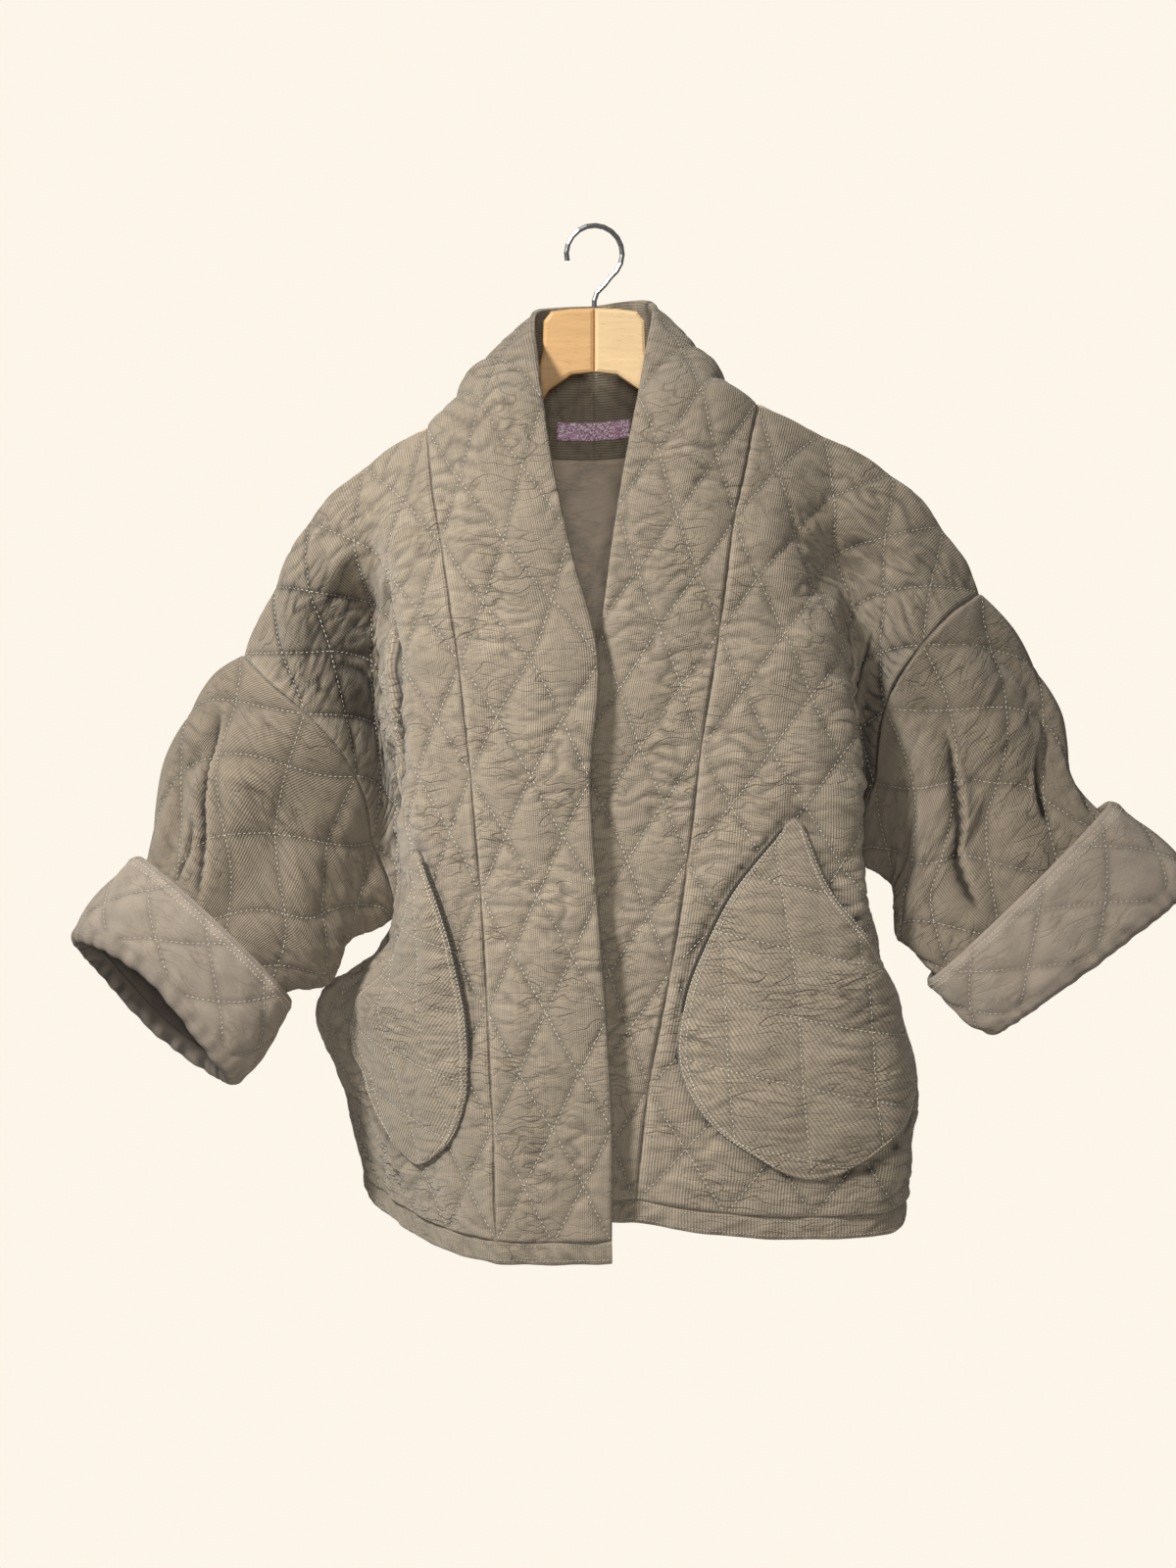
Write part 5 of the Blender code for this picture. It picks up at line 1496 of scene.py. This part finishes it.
def corded_edge(name, pocket, table, last_share):
    """A bound cord along the opening edge of a pocket."""
    front = POCKETS[pocket][0]
    down = np.linspace(0.01, last_share, 60)
    columns, rows = pocket_places(table, [0.0], down)
    surface = surfaces[front]
    line = sample(surface, "middle", columns, rows)[:, 0]
    facing = unit(sample(surface, "facing", columns, rows))[:, 0]
    line = line + facing * (POCKET_LIFT + 0.6)
    along = unit(np.gradient(line, axis=0))
    side = unit(np.cross(along, facing))
    turn = np.arange(12) * 2 * math.pi / 12
    x = np.cumsum(np.r_[0, np.linalg.norm(np.diff(line, axis=0), axis=1)])
    radius = CORD_RADIUS * np.clip(np.minimum(x, x[-1] - x) / 3, 0.15, 1) ** 0.5
    radius = radius * (1 + 0.06 * noise(x / 4, x * 0, 3))
    outward = (np.cos(turn)[None, :, None] * side[:, None]
               + np.sin(turn)[None, :, None] * facing[:, None])
    rings = line[:, None] + radius[:, None, None] * outward
    count = len(line)
    points = rings.reshape(-1, 3)
    index = np.arange(count * 12).reshape(count, 12)
    after = np.roll(index, -1, axis=1)
    quads = np.stack([index[:-1], after[:-1], after[1:], index[1:]], axis=-1).reshape(-1, 4).tolist()
    quads += [index[0].tolist()[::-1], index[-1].tolist()]
    uv = np.stack(np.broadcast_arrays(turn[None] * CORD_RADIUS, x[:, None]), axis=-1).reshape(-1, 2)
    mesh = bpy.data.meshes.new(name)
    mesh.from_pydata((points * MM).tolist(), [], quads)
    mesh.materials.append(POCKET_CORD)
    layer = mesh.uv_layers.new(name="cloth")
    for loop in mesh.loops:
        layer.data[loop.index].uv = uv[loop.vertex_index] * MM
    build = bmesh.new()
    build.from_mesh(mesh)
    bmesh.ops.recalc_face_normals(build, faces=build.faces)
    build.to_mesh(mesh)
    build.free()
    mesh.shade_smooth()
    thing = bpy.data.objects.new(name, mesh)
    bpy.context.scene.collection.objects.link(thing)
    return thing


pieces["right_pocket_cord"] = corded_edge("right_pocket_cord", "right_pocket", RIGHT_POCKET, 0.52)
pieces["left_pocket_cord"] = corded_edge("left_pocket_cord", "left_pocket", LEFT_POCKET, 0.50)
print("corded edges: 2")

# %% [markdown]
# Stitches. Each could be drawn as a dash in the material, but a real stitch is a small
# mound of thread that pulls the cloth down beside it. The lines of stitches are found as
# points on the finished surface, and Geometry Nodes puts one short length of thread on
# each point, turned along its line.

# %% Stitch points
# Distances between stitches and how far each stands off its line, in millimetres.
PITCH = 4.2
HEM_PITCH = 3.2
CUFF_PITCH = 3.6
STITCH_RISE = 0.12
# Rows of the hem's and the cuffs' own grids that carry a level line of stitches.
HEM_STITCH_ROWS = (0.35, 1.6)
CUFF_STITCH_ROWS = (7.45, 7.7)


def stitch_line(surface, columns, rows, pitch=PITCH, key="outside"):
    """Points every pitch along a line on a surface, with their directions."""
    place = sample(surface, key, columns, rows)
    facing = unit(sample(surface, "facing", columns, rows))
    length = np.cumsum(np.r_[0, np.linalg.norm(np.diff(place, axis=0), axis=1)])
    if length[-1] < 2 * pitch:
        return None
    at = np.arange(pitch / 2, length[-1], pitch)
    spots = np.stack([np.interp(at, length, place[:, k]) for k in range(3)], axis=1)
    ahead = np.stack([np.interp(at + 0.8, length, place[:, k]) for k in range(3)], axis=1)
    before = np.stack([np.interp(at - 0.8, length, place[:, k]) for k in range(3)], axis=1)
    out = unit(np.stack([np.interp(at, length, facing[:, k]) for k in range(3)], axis=1))
    if key == "inside":
        out = -out
    return spots + out * STITCH_RISE, unit(ahead - before), out


def quilt_lines(surface, columns, rows, step=4, margin=0.1):
    """Columns and rows along both families of quilting lines on a panel."""
    found = []
    for sign in (1, -1):
        for k in range(-rows, columns + rows + 1):
            if k % step:
                continue
            v = np.linspace(margin, rows - margin, rows * 12)
            u = k - v if sign == 1 else k + v
            stray = waver(u * CELL_ACROSS * (1.2 if surface["around"] else 1), v * CELL_DOWN,
                          surface["seed"] + (0 if sign == 1 else 1))
            u = u - 4 * stray
            inside = (u > margin) & (u < columns - margin)
            if inside.sum() > 8:
                found.append((u[inside], v[inside]))
    return found


def gather(lines):
    kept = [line for line in lines if line is not None]
    return tuple(np.concatenate([line[k] for line in kept]) for k in range(3))


def level_line(surface, row, margin=0.15):
    """Columns and rows along one row of a panel."""
    u = np.linspace(surface["columns"][0] + margin, surface["columns"][-1] - margin, 400)
    return u, np.full_like(u, row)


def panel_stitches(name):
    surface = surfaces[name]
    columns, rows = round(surface["columns"][-1]), round(surface["rows"][-1])
    lines = [stitch_line(surface, u, v) for u, v in quilt_lines(surface, columns, rows)]
    return gather(lines)


def neck_stitches(surface):
    """The same stitches on the inside of the back, where the open neck shows them."""
    lines = []
    for u, v in quilt_lines(surface, BACK_COLUMNS, BODY_ROWS):
        seen = (np.abs(u - BACK_COLUMNS / 2) < 9) & (v < 18)
        if seen.sum() > 8:
            lines.append(stitch_line(surface, u[seen], v[seen], key="inside"))
    return gather(lines)


def pocket_stitches(name):
    """Quilting on the bias and two rows of topstitching along the edge."""
    surface = surfaces[name]
    front, table, lean, fall, _ = POCKETS[name]
    mirror = 1 if front == "left_front" else -1
    lines = []
    across, down = np.linspace(0.02, 0.98, 160), np.linspace(0.02, 0.98, 160)
    u, v = pocket_places(table, across, down)
    x, y = u * CELL_ACROSS, v * CELL_DOWN
    for field in ((mirror * x - lean * y) / POCKET_CELL, (y - fall * mirror * x) / POCKET_CELL):
        lines += field_lines(surface, field, across, down)
    edge = surface["edge"]
    for inset in (1.6, 5.4):
        for side in (0, 1):
            shares = []
            for r, row in enumerate(surface["rows"]):
                half = len(surface["columns"]) // 2
                part = edge[r, :half] if side == 0 else edge[r, :half:-1]
                place = surface["columns"][:half] if side == 0 else surface["columns"][:half:-1]
                if part.max() > inset and 0.02 < row < 0.98:
                    shares.append((np.interp(inset, part, place) if side == 0
                                   else np.interp(inset, part, place), row))
            if len(shares) > 4:
                shares = np.array(shares)
                lines.append(stitch_line(surface, shares[:, 0], shares[:, 1], 3.2))
    return gather(lines)


def field_lines(surface, field, across, down):
    """Follows the places where a field on a pocket is a whole number."""
    lines = []
    low, high = math.ceil(field.min()), math.floor(field.max())
    level_across = np.abs(np.gradient(field, axis=1)).mean() > np.abs(np.gradient(field, axis=0)).mean()
    for whole in range(low, high + 1):
        found = []
        if level_across:
            for r, row in enumerate(down):
                values = field[r]
                hit = np.nonzero(np.diff(np.sign(values - whole)))[0]
                if len(hit):
                    k = hit[0]
                    share = (whole - values[k]) / (values[k + 1] - values[k])
                    found.append((across[k] + share * (across[k + 1] - across[k]), row))
        else:
            for c, column in enumerate(across):
                values = field[:, c]
                hit = np.nonzero(np.diff(np.sign(values - whole)))[0]
                if len(hit):
                    k = hit[0]
                    share = (whole - values[k]) / (values[k + 1] - values[k])
                    found.append((column, down[k] + share * (down[k + 1] - down[k])))
        if len(found) > 6:
            found = np.array(found)
            lines.append(stitch_line(surface, found[:, 0], found[:, 1]))
    return lines


stitches = {name: panel_stitches(name) for name in PANELS}
shown_inside = neck_stitches(surfaces["back"])
stitches["back"] = tuple(np.concatenate(pair) for pair in zip(stitches["back"], shown_inside))
stitches["right_pocket"] = pocket_stitches("right_pocket")
stitches["left_pocket"] = pocket_stitches("left_pocket")
for name in ("right_hem", "left_hem", "back_hem"):
    surface = surfaces[name]
    lines = [stitch_line(surface, *level_line(surface, row), HEM_PITCH) for row in HEM_STITCH_ROWS]
    stitches[name] = gather(lines)
for name in ("right_cuff", "left_cuff"):
    surface = surfaces[name]
    lines = [stitch_line(surface, *level_line(surface, row), CUFF_PITCH) for row in CUFF_STITCH_ROWS]
    for sign in (1, -1):
        for k in range(-16, 48, 4):
            v = np.linspace(4.0, 7.4, 60)
            u = k - 1.15 * v if sign == 1 else k + 1.15 * v
            inside = (u > 0.3) & (u < SLEEVE_RING - 1.3)
            if inside.sum() > 8:
                lines.append(stitch_line(surface, u[inside], v[inside]))
    stitches[name] = gather(lines)
print("stitches:", sum(len(s[0]) for s in stitches.values()))

# %% Stitches from Geometry Nodes
STITCH_LENGTH = 0.0031
STITCH_THICKNESS = 0.00070
STITCH_UNEVENNESS = 0.22


def stitch_nodes():
    """Puts a short rounded length of thread on every point, along its direction."""
    tree = bpy.data.node_groups.new("stitches", "GeometryNodeTree")
    tree.interface.new_socket("Geometry", in_out="INPUT", socket_type="NodeSocketGeometry")
    for name, value in (("Length", STITCH_LENGTH), ("Thickness", STITCH_THICKNESS),
                        ("Unevenness", STITCH_UNEVENNESS)):
        socket = tree.interface.new_socket(name, in_out="INPUT", socket_type="NodeSocketFloat")
        socket.default_value = value
    seed = tree.interface.new_socket("Seed", in_out="INPUT", socket_type="NodeSocketInt")
    seed.default_value = 4
    tree.interface.new_socket("Thread", in_out="INPUT", socket_type="NodeSocketMaterial")
    tree.interface.new_socket("Geometry", in_out="OUTPUT", socket_type="NodeSocketGeometry")
    node = tree.nodes.new
    link = tree.links.new
    given, out = node("NodeGroupInput"), node("NodeGroupOutput")
    bead = node("GeometryNodeMeshUVSphere")
    bead.inputs["Segments"].default_value = 5
    bead.inputs["Rings"].default_value = 2
    bead.inputs["Radius"].default_value = 0.5
    along = node("GeometryNodeInputNamedAttribute")
    along.data_type = "FLOAT_VECTOR"
    along.inputs["Name"].default_value = "along"
    outward = node("GeometryNodeInputNamedAttribute")
    outward.data_type = "FLOAT_VECTOR"
    outward.inputs["Name"].default_value = "outward"
    first = node("FunctionNodeAlignRotationToVector")
    first.axis = "X"
    second = node("FunctionNodeAlignRotationToVector")
    second.axis = "Z"
    second.pivot_axis = "X"
    link(along.outputs["Attribute"], first.inputs["Vector"])
    link(first.outputs[0], second.inputs["Rotation"])
    link(outward.outputs["Attribute"], second.inputs["Vector"])
    spread_low = node("ShaderNodeMath")
    spread_low.operation = "SUBTRACT"
    spread_low.inputs[0].default_value = 1.0
    link(given.outputs["Unevenness"], spread_low.inputs[1])
    spread_high = node("ShaderNodeMath")
    spread_high.operation = "ADD"
    spread_high.inputs[0].default_value = 1.0
    link(given.outputs["Unevenness"], spread_high.inputs[1])
    uneven = node("FunctionNodeRandomValue")
    uneven.data_type = "FLOAT"
    link(spread_low.outputs[0], uneven.inputs[2])
    link(spread_high.outputs[0], uneven.inputs[3])
    link(given.outputs["Seed"], uneven.inputs["Seed"])
    length = node("ShaderNodeMath")
    length.operation = "MULTIPLY"
    link(given.outputs["Length"], length.inputs[0])
    link(uneven.outputs[1], length.inputs[1])
    size = node("ShaderNodeCombineXYZ")
    link(length.outputs[0], size.inputs[0])
    link(given.outputs["Thickness"], size.inputs[1])
    link(given.outputs["Thickness"], size.inputs[2])
    place = node("GeometryNodeInstanceOnPoints")
    link(given.outputs["Geometry"], place.inputs["Points"])
    link(bead.outputs["Mesh"], place.inputs["Instance"])
    link(second.outputs[0], place.inputs["Rotation"])
    link(size.outputs[0], place.inputs["Scale"])
    real = node("GeometryNodeRealizeInstances")
    link(place.outputs[0], real.inputs[0])
    smooth = node("GeometryNodeSetShadeSmooth")
    link(real.outputs[0], smooth.inputs[0])
    finish = node("GeometryNodeSetMaterial")
    link(smooth.outputs[0], finish.inputs["Geometry"])
    link(given.outputs["Thread"], finish.inputs["Material"])
    link(finish.outputs[0], out.inputs[0])
    return tree


def sew(name, spots, along, outward, tree, colour, seed):
    """Makes the stitches of one piece, and keeps them as a plain mesh."""
    cloud = bpy.data.meshes.new(name + "_points")
    cloud.from_pydata((spots * MM).tolist(), [], [])
    for key, values in (("along", along), ("outward", outward)):
        layer = cloud.attributes.new(key, "FLOAT_VECTOR", "POINT")
        layer.data.foreach_set("vector", values.astype(np.float32).ravel())
    holder = bpy.data.objects.new(name + "_holder", cloud)
    bpy.context.scene.collection.objects.link(holder)
    modifier = holder.modifiers.new("stitches", "NODES")
    modifier.node_group = tree
    for socket in tree.interface.items_tree:
        if socket.in_out == "INPUT" and socket.name == "Thread":
            modifier[socket.identifier] = colour
        if socket.in_out == "INPUT" and socket.name == "Seed":
            modifier[socket.identifier] = seed
    bpy.context.view_layer.update()
    mesh = bpy.data.meshes.new_from_object(holder.evaluated_get(bpy.context.evaluated_depsgraph_get()))
    holder.modifiers.clear()
    bpy.data.objects.remove(holder)
    mesh.name = name
    for key in ("along", "outward"):
        if key in mesh.attributes:
            mesh.attributes.remove(mesh.attributes[key])
    thing = bpy.data.objects.new(name, mesh)
    bpy.context.scene.collection.objects.link(thing)
    return thing


thread_tree = stitch_nodes()
sewn = {}
for count, (name, (spots, along, outward)) in enumerate(stitches.items()):
    tonal = name.endswith("hem")
    sewn[name] = sew(name + "_stitches", spots, along, outward, thread_tree,
                     TONAL_THREAD if tonal else THREAD, count)
print("stitch faces:", sum(len(s.data.polygons) for s in sewn.values()))

# %% [markdown]
# The hanger keeps its solids. The two halves of the board come from different planks, so
# the wearer's right one is a little redder, and the hook is polished wire.

# %% Hanger finishes
HANGER = {
    "hanger_right_half": beech("beech_warm", (0.72, 0.43, 0.185)),
    "hanger_left_half": beech("beech_pale", (0.84, 0.60, 0.325)),
    "hook": steel(),
}
for node_name, finish in HANGER.items():
    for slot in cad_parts[node_name].material_slots:
        slot.material = finish
print("hanger finishes:", len(HANGER))

# %% [markdown]
# Last, every piece is tied to the part: it rides on the one body and stands for its solid,
# which is hidden.

# %% Ties
# Columns: width and length of the piece's cut that shows, in metres, and its area.
CUTS = {
    "right_front": (0.245, 0.652, 0.118),
    "left_front": (0.285, 0.641, 0.146),
    "back": (0.854, 0.690, 0.323),
    "right_band": (0.125, 0.853, 0.085),
    "left_band": (0.126, 0.834, 0.081),
    "right_sleeve": (0.575, 0.272, 0.106),
    "left_sleeve": (0.551, 0.294, 0.108),
    "right_cuff": (0.449, 0.100, 0.043),
    "left_cuff": (0.457, 0.114, 0.043),
    "right_pocket": (0.147, 0.305, 0.024),
    "left_pocket": (0.215, 0.334, 0.040),
    "right_hem": (0.305, 0.019, 0.0058),
    "left_hem": (0.379, 0.019, 0.0072),
    "back_hem": (0.515, 0.019, 0.0097),
    "label": (0.058, 0.014, 0.0008),
}
for name, piece in pieces.items():
    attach(piece, "root")
    if not name.endswith("_cord"):
        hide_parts(name)
for name, piece in sewn.items():
    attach(piece, "root")
for name, (wide, long, area) in CUTS.items():
    extras = [sewn[name]] if name in sewn else []
    if name + "_cord" in pieces:
        extras.append(pieces[name + "_cord"])
print("pieces:", len(pieces) + len(sewn))
